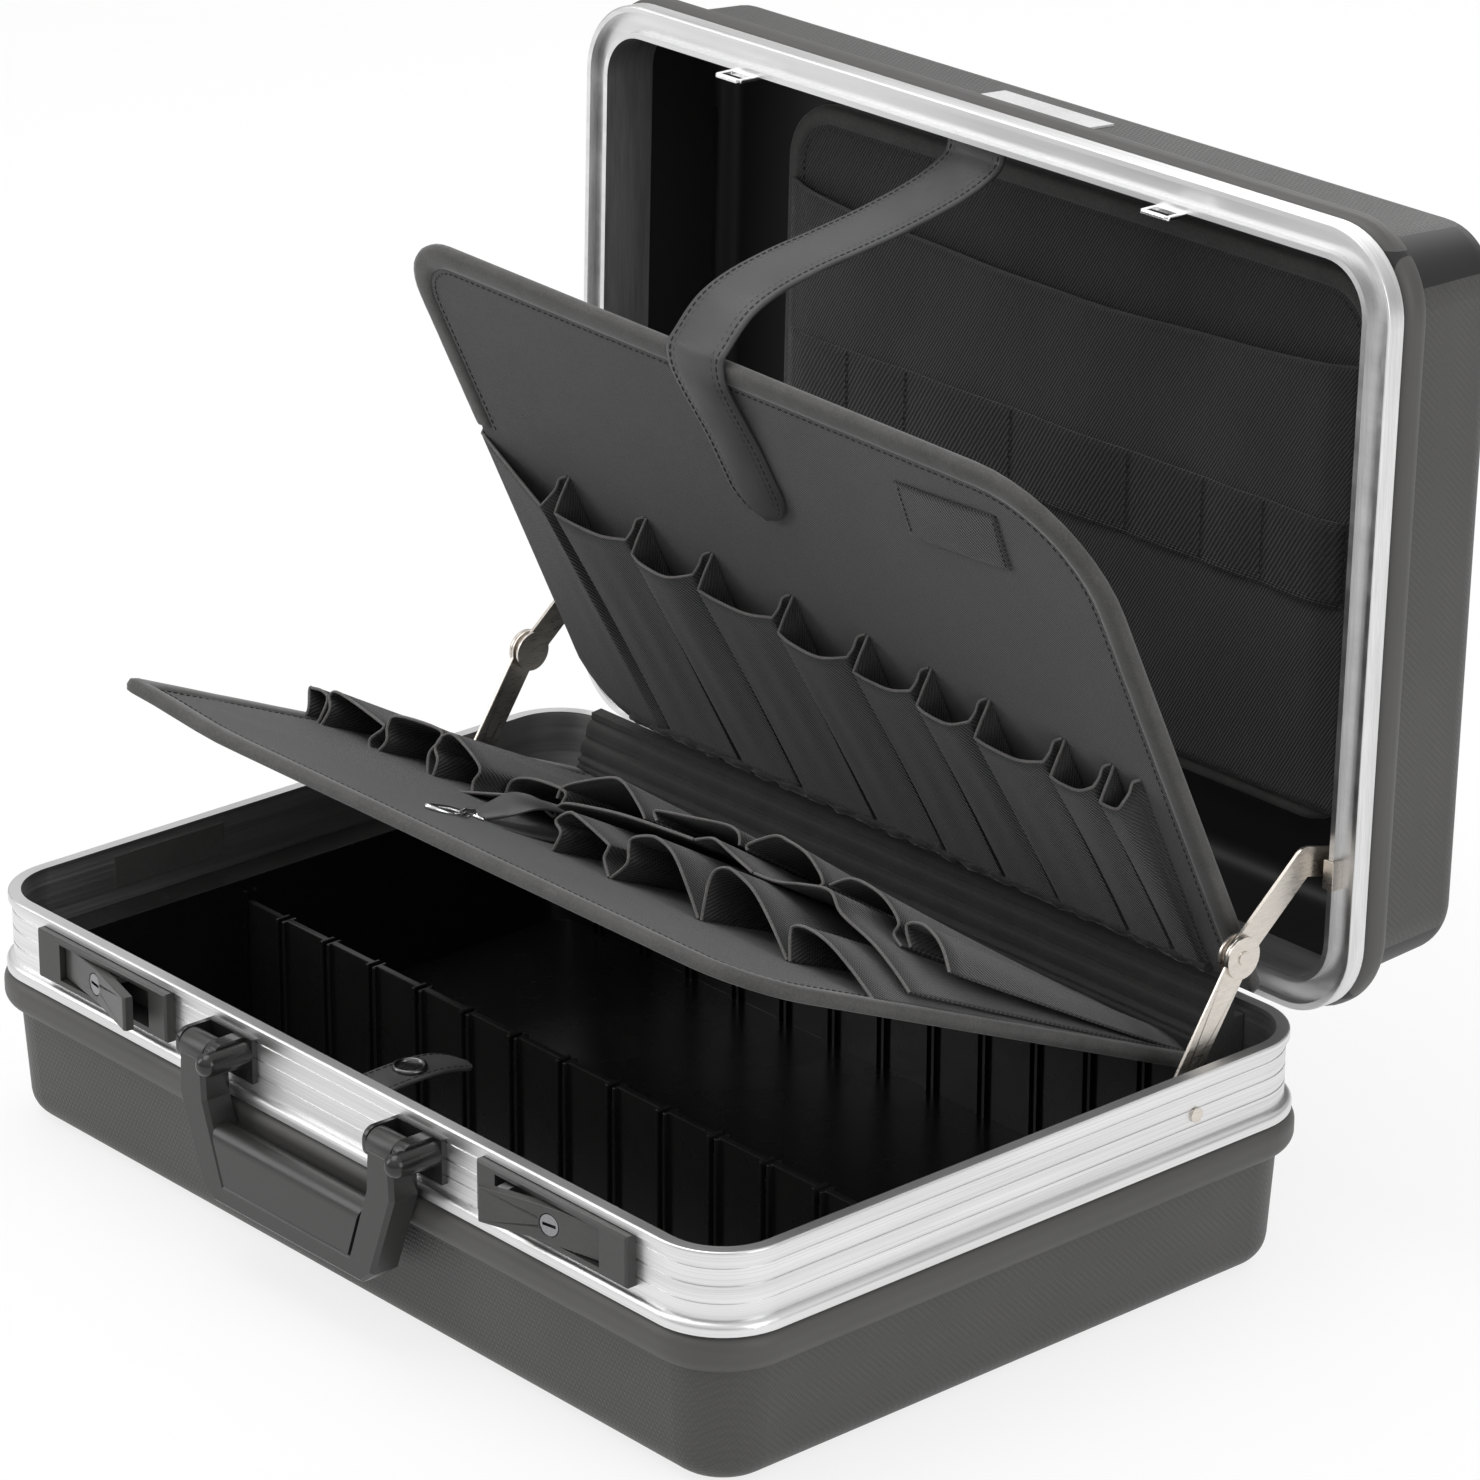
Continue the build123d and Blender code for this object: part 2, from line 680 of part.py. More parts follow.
def elastic_band():
    near_z = doc_pocket_face(band_near)
    far_z = doc_pocket_face(band_far)
    points = [
        (band_near, near_z), (band_far, far_z), (band_far, far_z - band_thick),
        (band_near, near_z - band_thick),
    ]
    half = panel_half_width - doc_pocket_side - seam_gap
    return opened(prism_x(points, -half, half))


# Hinges

def hinge_knuckle(x0, x1, bore):
    return rod_x(x0, x1, hinge_y, hinge_z, knuckle_radius) - rod_x(x0 - 1, x1 + 1, hinge_y, hinge_z, bore)


def base_rivet_places():
    z = rim_top - base_leaf_top_drop - base_leaf_height * 0.65
    reach = hinge_length / 2 - base_rivet_inset
    return [(side * hinge_x + step, z) for side in (-1, 1) for step in (-reach, reach)]


def lid_rivet_places():
    z = lip_z + groove_room + web_thick / 2
    reach = hinge_length / 6 - lid_rivet_inset
    return [(side * hinge_x + step, z) for side in (-1, 1) for step in (-reach, reach)]


def lid_rivet_bores():
    bores = [
        rod_y(x, lid_half_depth + 1, lid_half_depth - lid_outer_lip + 0.6, z, rivet_radius * 0.6)
        for x, z in lid_rivet_places()
    ]
    return bores


def hinge_leaves_base():
    third = hinge_length / 3
    top = rim_top - base_leaf_top_drop
    y0 = rear_wall_y
    y1 = rear_wall_y + leaf_thick
    leaves = []
    for side in (-1, 1):
        x0 = side * hinge_x - hinge_length / 2
        leaf = block(x0, x0 + hinge_length, y0, y1, top - base_leaf_height, top)
        for start in (x0, x0 + 2 * third):
            web_low = hinge_z - knuckle_radius
            leaf += block(start, start + third, y0, hinge_y, web_low, web_low + leaf_thick)
            leaf += rod_x(start, start + third, hinge_y, hinge_z, knuckle_radius)
        leaf -= rod_x(x0 - 1, x0 + hinge_length + 1, hinge_y, hinge_z, hinge_pin_radius)
        for x, z in base_rivet_places():
            leaf -= rod_y(x, y1 + 1, y0 - 1, z, rivet_radius)
        leaves.append(leaf)
    return leaves


def hinge_leaves_lid():
    third = hinge_length / 3
    y0 = lid_half_depth
    y1 = lid_half_depth + leaf_thick
    leaves = []
    for side in (-1, 1):
        x0 = side * hinge_x - third / 2 + knuckle_gap
        x1 = side * hinge_x + third / 2 - knuckle_gap
        leaf = block(x0, x1, y0, y1, lip_z + 0.3, lip_z + lid_frame_height - fit_gap)
        leaf += block(x0, x1, y0 + 0.5, hinge_y + leaf_thick, hinge_z + knuckle_radius - 1, lip_z + 1.5)
        leaf += rod_x(x0, x1, hinge_y, hinge_z, knuckle_radius)
        leaf -= rod_x(x0 - 1, x1 + 1, hinge_y, hinge_z, hinge_pin_radius + pin_clearance)
        for x, z in lid_rivet_places():
            leaf -= rod_y(x, y1 + 1, y0 - 1, z, rivet_radius * 0.6)
        leaves.append(opened(leaf))
    return leaves


def hinge_pins():
    half = hinge_length / 2
    return [
        rod_x(
            side * hinge_x - half, side * hinge_x + half, hinge_y, hinge_z, hinge_pin_radius,
        ) for side in (-1, 1)
    ]


def hinge_rivets_base():
    y1 = rear_wall_y + leaf_thick
    rivets = []
    for x, z in base_rivet_places():
        head = rod_y(x, y1, y1 + 0.9, z, rivet_radius * 1.8)
        rivets.append(head + rod_y(x, y1, half_y + 0.2, z, rivet_radius))
    return rivets


def hinge_rivets_lid():
    y1 = lid_half_depth + leaf_thick
    rivets = []
    for x, z in lid_rivet_places():
        head = rod_y(x, y1, y1 + 0.6, z, rivet_radius)
        stem = rod_y(x, y1, lid_half_depth - lid_outer_lip + 0.8, z, rivet_radius * 0.6)
        rivets.append(opened(head + stem))
    return rivets


# Folding stays, drawn for the right side

def strip(points, width, x0, x1):
    """A flat bar of the given width along a path in (y, z), with round ends and corners."""
    bar = None
    for (ya, za), (yb, zb) in zip(points, points[1:]):
        length = math.hypot(yb - ya, zb - za)
        angle = math.degrees(math.atan2(zb - za, yb - ya))
        run = Pos(
            (x0 + x1) / 2, (ya + yb) / 2, (za + zb) / 2,
        ) * Rot(angle, 0, 0) * Box(x1 - x0, length, width)
        bar = run if bar is None else bar + run
    for y, z in points:
        bar += rod_x(x0, x1, y, z, width / 2)
    return bar


def stay_points():
    base = (stay_base_y, rim_top - stay_base_drop)
    mid = (stay_mid_y, rim_top + stay_mid_rise)
    bend = (stay_bend_y, rim_top + stay_bend_rise)
    end = (stay_end_y, rim_top + stay_end_rise)
    return base, mid, bend, end


def stay_lower_arm():
    base, mid, bend, end = stay_points()
    x0 = stay_plane - stay_thick
    arm = strip([base, mid], stay_width, x0, stay_plane)
    arm += rod_x(x0, stay_plane, *mid, stay_disc_radius)
    arm -= rod_x(x0 - 1, stay_plane + 1, *base, stay_rivet_radius + pin_clearance)
    return arm - rod_x(x0 - 1, stay_plane + 1, *mid, stay_rivet_radius)


def stay_upper_arm():
    base, mid, bend, end = stay_points()
    x0 = stay_upper_plane - stay_thick
    arm = strip([mid, bend, end], stay_width, x0, stay_upper_plane)
    arm -= rod_x(x0 - 1, stay_upper_plane + 1, *mid, stay_rivet_radius + pin_clearance)
    return arm - rod_x(x0 - 1, stay_upper_plane + 1, *end, stay_rivet_radius)


def stay_mid_rivet():
    base, mid, bend, end = stay_points()
    inner_face = stay_upper_plane - stay_thick - fit_gap
    outer = rod_x(stay_plane, stay_plane + stay_disc_thick, *mid, stay_disc_radius)
    inner = rod_x(inner_face - stay_disc_thick, inner_face, *mid, stay_disc_radius)
    cap = rod_x(stay_plane, stay_plane + stay_disc_thick + 0.5, *mid, stay_rivet_radius * 1.4)
    return outer + inner + cap + rod_x(inner_face, stay_plane, *mid, stay_rivet_radius)


def stay_end_rivet():
    base, mid, bend, end = stay_points()
    inner_face = stay_upper_plane - stay_thick
    head = rod_x(inner_face - stay_disc_thick, inner_face, *end, stay_head_radius)
    tip = inner_lid_x - anchor_thick - fit_gap
    return head + rod_x(inner_face, tip, *end, stay_rivet_radius)


def stay_base_rivet():
    base, mid, bend, end = stay_points()
    inner_face = stay_plane - stay_thick - fit_gap
    head = rod_x(inner_face - stay_disc_thick, inner_face, *base, stay_head_radius)
    stem = rod_x(inner_face, half_x + frame_wall, *base, stay_rivet_radius)
    collar = rod_x(stay_plane + fit_gap, half_x, *base, stay_head_radius)
    button = rod_x(half_x + frame_wall, half_x + frame_wall + 1.0, *base, 3.0)
    return head + stem + collar + button


def stay_anchor():
    """Clip over the inner lip of the lid frame that takes the end of the stay."""
    dy = stay_end_y - hinge_y
    dz = rim_top + stay_end_rise - hinge_z
    a = open_lid_lean
    shut_y = hinge_y + dy * math.cos(a) - dz * math.sin(a)
    shut_z = hinge_z + dy * math.sin(a) + dz * math.cos(a)
    y0 = shut_y - stay_width / 2
    y1 = shut_y + stay_width / 2
    inner = inner_lid_x - anchor_thick
    outer = inner_lid_x + lid_lip + anchor_thick
    edge = lip_z - anchor_thick
    body = block(inner, inner_lid_x, y0, y1, edge, shut_z + stay_width / 2)
    body += block(inner, outer, y0, y1, edge, lip_z)
    body += block(inner_lid_x + lid_lip, outer, y0, y1, edge, lip_z + groove_room)
    return opened(body)


# Spine and boards

def board_spine():
    top = rim_top + upper_hinge_rise - board_thick / 2 - fit_gap
    bottom = rim_top - spine_bottom_drop
    front = lower_hinge_y + board_thick / 2 + fit_gap
    lip_y = inner_lid_y - 2 * fit_gap
    points = [
        (front, bottom), (half_y, bottom), (half_y, lip_z - 2), (lip_y, lip_z - 2),
        (lip_y, top), (upper_hinge_y - 3, top), (front, rim_top - lower_hinge_drop + 7),
    ]
    return prism_x(points, -spine_half_width, spine_half_width)


def board_outline(upper, inset):
    """Outline of a board in its own plane: round at the free corners, square at the hinge."""
    if upper:
        left, right = upper_left, upper_right
        far_left = upper_length + upper_fall_rate * upper_left
        far_right = upper_length - upper_fall_rate * upper_right
        corner_left, corner_right = upper_corner_left, upper_corner_right
    else:
        left = right = lower_half_width
        far_left = far_right = lower_length
        corner_left, corner_right = lower_corner_left, lower_corner_right
    points = [
        (inset - left, 0), (right - inset, 0), (right - inset, far_right - inset), (inset - left, far_left - inset),
    ]
    sheet = make_face(Polyline(*points, close=True))
    free = sheet.vertices().sort_by(Axis.Y)[2:].sort_by(Axis.X)
    sheet = fillet(free[0], corner_left - inset)
    free = sheet.vertices().sort_by(Axis.X)[-2:].sort_by(Axis.Y)
    return fillet(free[-1], corner_right - inset)


def board_ends(upper):
    """How far a board reaches to the left and right of the middle."""
    return (upper_left, upper_right) if upper else (lower_half_width, lower_half_width)


def board(plane, upper):
    left, right = board_ends(upper)
    sheet = extrude(board_outline(upper, binding_width / 2), board_thick / 2, both=True)
    bead = rod_x(binding_width / 2 - left, right - binding_width / 2, 0, 0, board_thick / 2)
    return plane * (sheet + bead)


def board_binding(plane, upper):
    start = 8.0
    left, right = board_ends(upper)
    outer = extrude(board_outline(upper, 0), binding_thick / 2, both=True)
    outer = fillet(outer.edges().filter_by(Plane.XY), binding_thick / 2 - 0.3)
    core = extrude(board_outline(upper, binding_width / 2), board_thick / 2, both=True)
    window = extrude(board_outline(upper, binding_width), binding_thick, both=True)
    cut = block(-left - 5, right + 5, -5, start, -10, 10)
    if upper:
        # Beside the first pocket the pocket's own cloth goes round the board's edge
        cut += block(-left - 5, 0, -5, upper_mouth_left + fit_gap, -10, 10)
    return plane * (outer - core - window - cut)


def sleeve(plane, foot, mouth):
    """A straight sided solid between two outlines given as (x, distance from hinge, height)."""
    ends = []
    for points in (foot, mouth):
        wire = Wire.make_polygon([Vector(*point) for point in points])
        ends.append(Face(wire))
    return plane * loft(ends, ruled=True)


def upper_board_pockets():
    face = board_thick / 2
    slope = (upper_mouth_right - upper_mouth_left) / (upper_seams[-1] - upper_seams[0])
    row = []
    for left, right in zip(upper_seams, upper_seams[1:]):
        sides = (left + seam_gap / 2, right - seam_gap / 2)
        foot = []
        mouth = []
        for x, high in ((sides[0], 0), (sides[1], 0), (sides[1], 1), (sides[0], 1)):
            reach = upper_mouth_left + slope * (x - upper_seams[0])
            foot.append((x, pocket_foot, face + high * pocket_foot_depth))
            mouth.append((x, reach - high * upper_lip_drop, face + high * upper_pocket_depth))
        row.append(sleeve(upper_plane, foot, mouth))
    return row


def upper_board_patch():
    face = board_thick / 2
    return upper_plane * block(patch_left, patch_right, patch_near, patch_far, face, face + patch_thick)


def lip_points(left, right, peak, height, low_left, low_right):
    """Top edge of a pocket's mouth as (x, height), from its right side back to its left."""
    width = right - left
    return [
        (right, low_right + 0.25 * (height - low_right)),
        (left + (peak + 0.3) * width, 0.25 * low_right + 0.75 * height),
        (left + peak * width, height), (left, low_left + 0.6 * (height - low_left)),
    ]


def flipped(points):
    """The lower board carries its pockets on the face away from its plane's normal."""
    return [(x, s, -n) for x, s, n in points]


def lower_board_front_pockets():
    face = board_thick / 2
    row = []
    for left, right, peak, height in front_pockets:
        tops = lip_points(left, right, peak, height, face, face)
        foot = [(left, pocket_foot, face), (right, pocket_foot, face)]
        foot += [(x, pocket_foot, face + front_foot_depth) for x, z in tops]
        mouth = [(left, front_mouth, face), (right, front_mouth, face)]
        mouth += [(x, front_mouth, z) for x, z in tops]
        row.append(sleeve(lower_plane, flipped(foot), flipped(mouth)))
    return row


def wide_foot_top():
    """Height of the wide pocket's top at its foot, over the feet of the front pockets."""
    return board_thick / 2 + front_foot_depth + fit_gap + wide_foot_depth


def lower_board_wide_pocket():
    face = board_thick / 2
    covered = front_pockets[0][0] - 1.0
    foot_top = []
    foot_low = []
    mouth_top = []
    mouth_low = []
    for x, rise in wide_pocket_rise:
        low = face if x < covered else wide_foot_top() - wide_foot_depth
        foot_low.append((x, pocket_foot, low))
        foot_top.append((x, pocket_foot, wide_foot_top()))
        mouth_low.append((x, wide_mouth, rise - wide_thick))
        mouth_top.append((x, wide_mouth, rise))
    return sleeve(lower_plane, flipped(foot_low + foot_top[::-1]), flipped(mouth_low + mouth_top[::-1]))


def wide_height(x, s):
    """Height of the wide pocket's top face at x and at distance s from the hinge."""
    share = (s - pocket_foot) / (wide_mouth - pocket_foot)
    for (xa, za), (xb, zb) in zip(wide_pocket_rise, wide_pocket_rise[1:]):
        if xa <= x <= xb:
            rise = za + (zb - za) * (x - xa) / (xb - xa)
            return wide_foot_top() + (rise - wide_foot_top()) * share
    return board_thick / 2


def lower_board_back_pockets():
    face = board_thick / 2
    row = []
    for left, right, peak, height in back_pockets_left:
        tops = lip_points(left, right, peak, height, face, face)
        foot = [(left, pocket_foot, face), (right, pocket_foot, face)]
        foot += [(x, pocket_foot, face + pocket_foot_depth) for x, z in tops]
        mouth = [(left, back_mouth_left, face), (right, back_mouth_left, face)]
        mouth += [(x, back_mouth_left, z) for x, z in tops]
        row.append(sleeve(lower_plane, flipped(foot), flipped(mouth)))
    for left, right, peak, height in back_pockets_right:
        seats = [x for x, rise in wide_pocket_rise if left < x < right]
        lows = [(x, wide_height(x, back_mouth) + fit_gap) for x in [left] + seats + [right]]
        tops = lip_points(left, right, peak, height, lows[0][1], lows[-1][1])
        seat = wide_foot_top() + fit_gap
        foot = [(x, pocket_foot, seat) for x, z in lows] + [
            (x, pocket_foot, seat + pocket_foot_depth / 2) for x, z in tops
        ]
        mouth = [(x, back_mouth, z) for x, z in lows] + [(x, back_mouth, z) for x, z in tops]
        row.append(sleeve(lower_plane, flipped(foot), flipped(mouth)))
    return row


def clip_strap():
    face = board_thick / 2
    near = wide_mouth + fit_gap
    far = near + clip_length
    top = face + clip_rise
    points = [
        (near, top - clip_thick), (near, top), (near + clip_length / 2, face + 0.7 * clip_rise),
        (far, face + clip_thick), (far, face),
        (near + clip_length / 2, face + 0.7 * clip_rise - clip_thick),
    ]
    return lower_plane * prism_x(
        [(s, -n) for s, n in points], clip_x - clip_width / 2, clip_x + clip_width / 2,
    )


def snap_hook():
    face = board_thick / 2
    near = wide_mouth + fit_gap + clip_length
    body = block(
        clip_x - snap_width / 2, clip_x + snap_width / 2, near, near + snap_length,
        -face - snap_thick, -face,
    )
    body = fillet(body.edges().filter_by(Axis.Z), snap_width / 2 - 0.3)
    return lower_plane * body


def ribbon(points, thickness, x0, x1):
    """A band of even thickness along a path in (y, z)."""
    left = []
    right = []
    for i, (y, z) in enumerate(points):
        ya, za = points[max(i - 1, 0)]
        yb, zb = points[min(i + 1, len(points) - 1)]
        length = math.hypot(yb - ya, zb - za)
        ny = -(zb - za) / length * thickness / 2
        nz = (yb - ya) / length * thickness / 2
        left.append((y + ny, z + nz))
        right.append((y - ny, z - nz))
    return prism_x(left + right[::-1], x0, x1)


def carry_strap():
    """Along the front of the upper board, over its top edge and across to the lid."""
    a = math.radians(upper_angle)
    half = strap_thick / 2 + fit_gap
    on_board = [
        (strap_start, board_thick / 2 + half), (upper_length - 18, board_thick / 2 + half),
        (upper_length - 9, binding_thick / 2 + half), (upper_length - 1, binding_thick / 2 + half),
        (upper_length + half + 1, binding_thick / 2 - 0.5), (upper_length + half + 3, -1.5),
    ]
    route = []
    for s, n in on_board:
        y = upper_hinge_y + s * math.cos(a) - n * math.sin(a)
        z = rim_top + upper_hinge_rise + s * math.sin(a) + n * math.cos(a)
        route.append((y, z))
    seat_y = -inner_lid_y + half
    fixed = [lid_place(seat_y, lip_z + strap_lid_reach - 8), lid_place(seat_y, lip_z + strap_lid_reach)]
    start = route[-1]
    end = fixed[0]
    for share, rise in strap_sag:
        route.append(
            (start[0] + share * (end[0] - start[0]), start[1] + share * (end[1] - start[1]) + rise)
        )
    route += fixed
    return ribbon(route, strap_thick, -strap_width / 2, strap_width / 2)


# Front strap and stud

def front_strap():
    y0 = -half_y
    top = rim_top - front_strap_drop
    low = top - front_strap_thick
    half = front_strap_width / 2
    body = block(front_strap_x - half, front_strap_x + half, y0, y0 + front_strap_length, low, top)
    return fillet(body.edges().filter_by(Axis.Z).group_by(Axis.Y)[-1], half - 0.5)


def strap_stud():
    top = rim_top - front_strap_drop
    y = -half_y + stud_reach
    return rod_z(front_strap_x, y, top, top + 1.6, stud_radius)


# Handle

def arm_places():
    return [handle_middle - arm_pitch / 2, handle_middle + arm_pitch / 2]


def handle_bracket(x):
    """Bracket for the arm at x: a plate on the frame, a thin cheek and a thick round boss."""
    top = rim_top - bracket_top_drop
    bottom = rim_top - bracket_bottom_drop
    pivot_z = rim_top - pivot_drop
    slot_left = x - arm_width / 2 - arm_side_gap
    slot_right = x + arm_width / 2 + arm_side_gap
    left = slot_left - cheek_thick
    boss_x = slot_right + boss_radius + 1
    right = boss_x + boss_radius
    plate = block(left, right, front_wall_y - bracket_plate, front_wall_y, bottom, top)
    ear_front = pivot_y - arm_head_radius + 0.6
    cheek = block(left, slot_left, ear_front, front_wall_y, pivot_z - arm_head_radius, top)
    cheek = fillet(cheek.edges().filter_by(Axis.X).group_by(Axis.Y)[0], 5.0)
    ear = block(slot_right, boss_x, ear_front, front_wall_y, pivot_z - arm_head_radius, top)
    ear = fillet(ear.edges().filter_by(Axis.X).group_by(Axis.Y)[0], 5.0)
    boss = rod_y(boss_x, boss_front_y, front_wall_y, rim_top - boss_drop, boss_radius)
    ball = Pos(boss_x, boss_front_y, rim_top - boss_drop) * Sphere(boss_radius)
    bore = rod_x(left + 0.8, slot_right + 3.5, pivot_y, pivot_z, pivot_pin_radius)
    slot = block(slot_left, slot_right, ear_front - 10, front_wall_y - bracket_plate, bottom - 1, top + 1)
    return plate + cheek + ear + boss + ball - slot - bore


def handle_pins():
    pins = []
    for x in arm_places():
        left = x - arm_width / 2 - arm_side_gap - cheek_thick + 0.8
        right = x + arm_width / 2 + arm_side_gap + 3.5
        pins.append(rod_x(left, right, pivot_y, rim_top - pivot_drop, pivot_pin_radius))
    return pins


def handle_outline():
    """Outline of the handle from the front: straight arms that taper in to a flat bottom."""
    outer = arm_pitch / 2 + arm_width / 2
    inner = arm_pitch / 2 - arm_width / 2
    top = rim_top - pivot_drop
    knee = rim_top - handle_knee_drop
    bottom = rim_top - handle_drop
    crotch = rim_top - grip_bottom_drop
    bend = (bottom + crotch) / 2 + 1
    half = [
        (outer, top), (outer + 1, knee), (outer - handle_taper, bend), (outer - 1.6 * handle_taper, bottom),
    ]
    inside = [(inner, top), (inner - 1, knee), (inner - handle_taper, crotch)]
    right = [(handle_middle + x, z) for x, z in half]
    left = [(handle_middle - x, z) for x, z in half[::-1]]
    in_left = [(handle_middle - x, z) for x, z in inside]
    in_right = [(handle_middle + x, z) for x, z in inside[::-1]]
    return right + left + in_left + in_right


def handle_frame():
    body = prism_y(handle_outline(), handle_front_y, handle_back_y)
    body = chamfer(body.edges().filter_by(Plane.XZ).group_by(Axis.Y)[0], 1.6)
    pivot_z = rim_top - pivot_drop
    for x in arm_places():
        x0 = x - arm_width / 2
        x1 = x + arm_width / 2
        body += rod_x(x0, x1, pivot_y, pivot_z, arm_head_radius)
        body -= rod_x(x0 - 2, x1 + 2, pivot_y, pivot_z, pivot_pin_radius + pin_clearance)
    return body


def handle_grip():
    """The rounded grip that fills the handle above its bottom bar."""
    inner = arm_pitch / 2 - arm_width / 2
    top = rim_top - grip_top_drop
    crotch = rim_top - grip_bottom_drop
    knee = rim_top - handle_knee_drop
    slope = (handle_taper - 1) / (knee - crotch)
    top_half = inner - 1 - slope * (knee - top)
    low_half = inner - handle_taper
    points = [
        (handle_middle - low_half, crotch), (handle_middle + low_half, crotch),
        (handle_middle + top_half, top), (handle_middle - top_half, top),
    ]
    body = prism_y(points, handle_front_y, handle_back_y)
    edges = body.edges().filter_by(Axis.X).group_by(Axis.Z)[-1]
    return fillet(edges, (handle_back_y - handle_front_y) / 2 - 0.3)


# Latches, drawn for the right side

def latch_housing(hook_x):
    x0 = latch_middle - latch_width / 2
    x1 = latch_middle + latch_width / 2
    top = rim_top - latch_top_drop
    low = rim_top - latch_bottom_drop
    window_top = rim_top - window_top_drop
    window_low = rim_top - window_bottom_drop
    face = block(x0, x1, latch_front_y, front_wall_y, low, top)
    face = chamfer(face.edges().group_by(Axis.Y)[0], 0.8)
    body = block(
        window_inner - pocket_skin, window_outer + pocket_skin, front_wall_y, pocket_back_y + pocket_cover,
        window_low - pocket_skin, window_top + pocket_skin,
    )
    window = block(window_inner, window_outer, latch_front_y - 1, pocket_back_y, window_low, window_top)
    nose = block(
        hook_x - catch_hook_width, hook_x + catch_hook_width, pocket_back_y - 1,
        pocket_back_y + pocket_cover + 1,
        rim_top - hook_bottom_drop - 0.8, rim_top - hook_top_drop + 0.8,
    )
    pin = rod_z(lever_pivot, lever_pivot_y(), low + 1.2, top - 1.2, lever_pin_radius)
    return face + body - window - nose - pin


def lever_pivot_y():
    return latch_front_y + lever_thick / 2


def lever_turn(shape):
    """Turn a piece of the shut right lever to its rest place."""
    line = Axis((lever_pivot, lever_pivot_y(), 0), (0, 0, 1))
    return shape.rotate(line, lever_open)


def lever_outline():
    outer = window_outer - lever_gap
    inner = window_inner + lever_gap
    front = latch_front_y
    back = front + lever_thick
    return [
        (outer, front), (lever_fold, front), (inner, front - lever_rise),
        (inner, back - lever_rise), (lever_fold, back), (outer, back),
    ]


def latch_lever():
    low = rim_top - window_bottom_drop + lever_gap
    top = rim_top - window_top_drop - lever_gap
    body = prism_z(lever_outline(), low, top)
    body = chamfer(body.edges().group_by(Axis.X)[0].filter_by(Axis.Z).group_by(Axis.Y)[0], 0.9)
    body -= rod_z(lever_pivot, lever_pivot_y(), low - 1, top + 1, lever_pin_radius + pin_clearance)
    middle = (low + top) / 2
    body -= rod_y(
        lock_x, latch_front_y - 1, latch_front_y + lever_thick + 1, middle, lock_radius + lock_gap,
    )
    return lever_turn(body)


def lock_cylinder():
    middle = rim_top - (window_top_drop + window_bottom_drop) / 2
    front = latch_front_y + 0.2
    back = latch_front_y + lever_thick - lock_recess
    body = rod_y(lock_x, front, back, middle, lock_radius)
    body -= block(
        lock_x - 3.2, lock_x + 3.2, front - 1, front + 2.5, middle - key_slot / 2, middle + key_slot / 2,
    )
    return lever_turn(body)


def latch_hook(hook_x):
    top = rim_top - hook_top_drop
    low = rim_top - hook_bottom_drop
    slope = lever_rise / (lever_fold - window_inner - lever_gap)
    start = latch_front_y + lever_thick - slope * (lever_fold - hook_x)
    x0 = hook_x - catch_hook_width / 2
    x1 = hook_x + catch_hook_width / 2
    points = [
        (x0, start - slope * catch_hook_width / 2), (x1, start + slope * catch_hook_width / 2),
        (x1, hook_tip_y - 1.5), (x1 - 1.5, hook_tip_y), (x0 + 1.5, hook_tip_y), (x0, hook_tip_y - 1.5),
    ]
    return lever_turn(prism_z(points, low, top))


def latch_pin():
    top = rim_top - latch_top_drop - 1.2
    low = rim_top - latch_bottom_drop + 1.2
    return rod_z(lever_pivot, lever_pivot_y(), low, top, lever_pin_radius)


def both(maker):
    """A right hand piece and its left hand copy as two solids."""
    right = maker()
    return [mirrored(right), right]


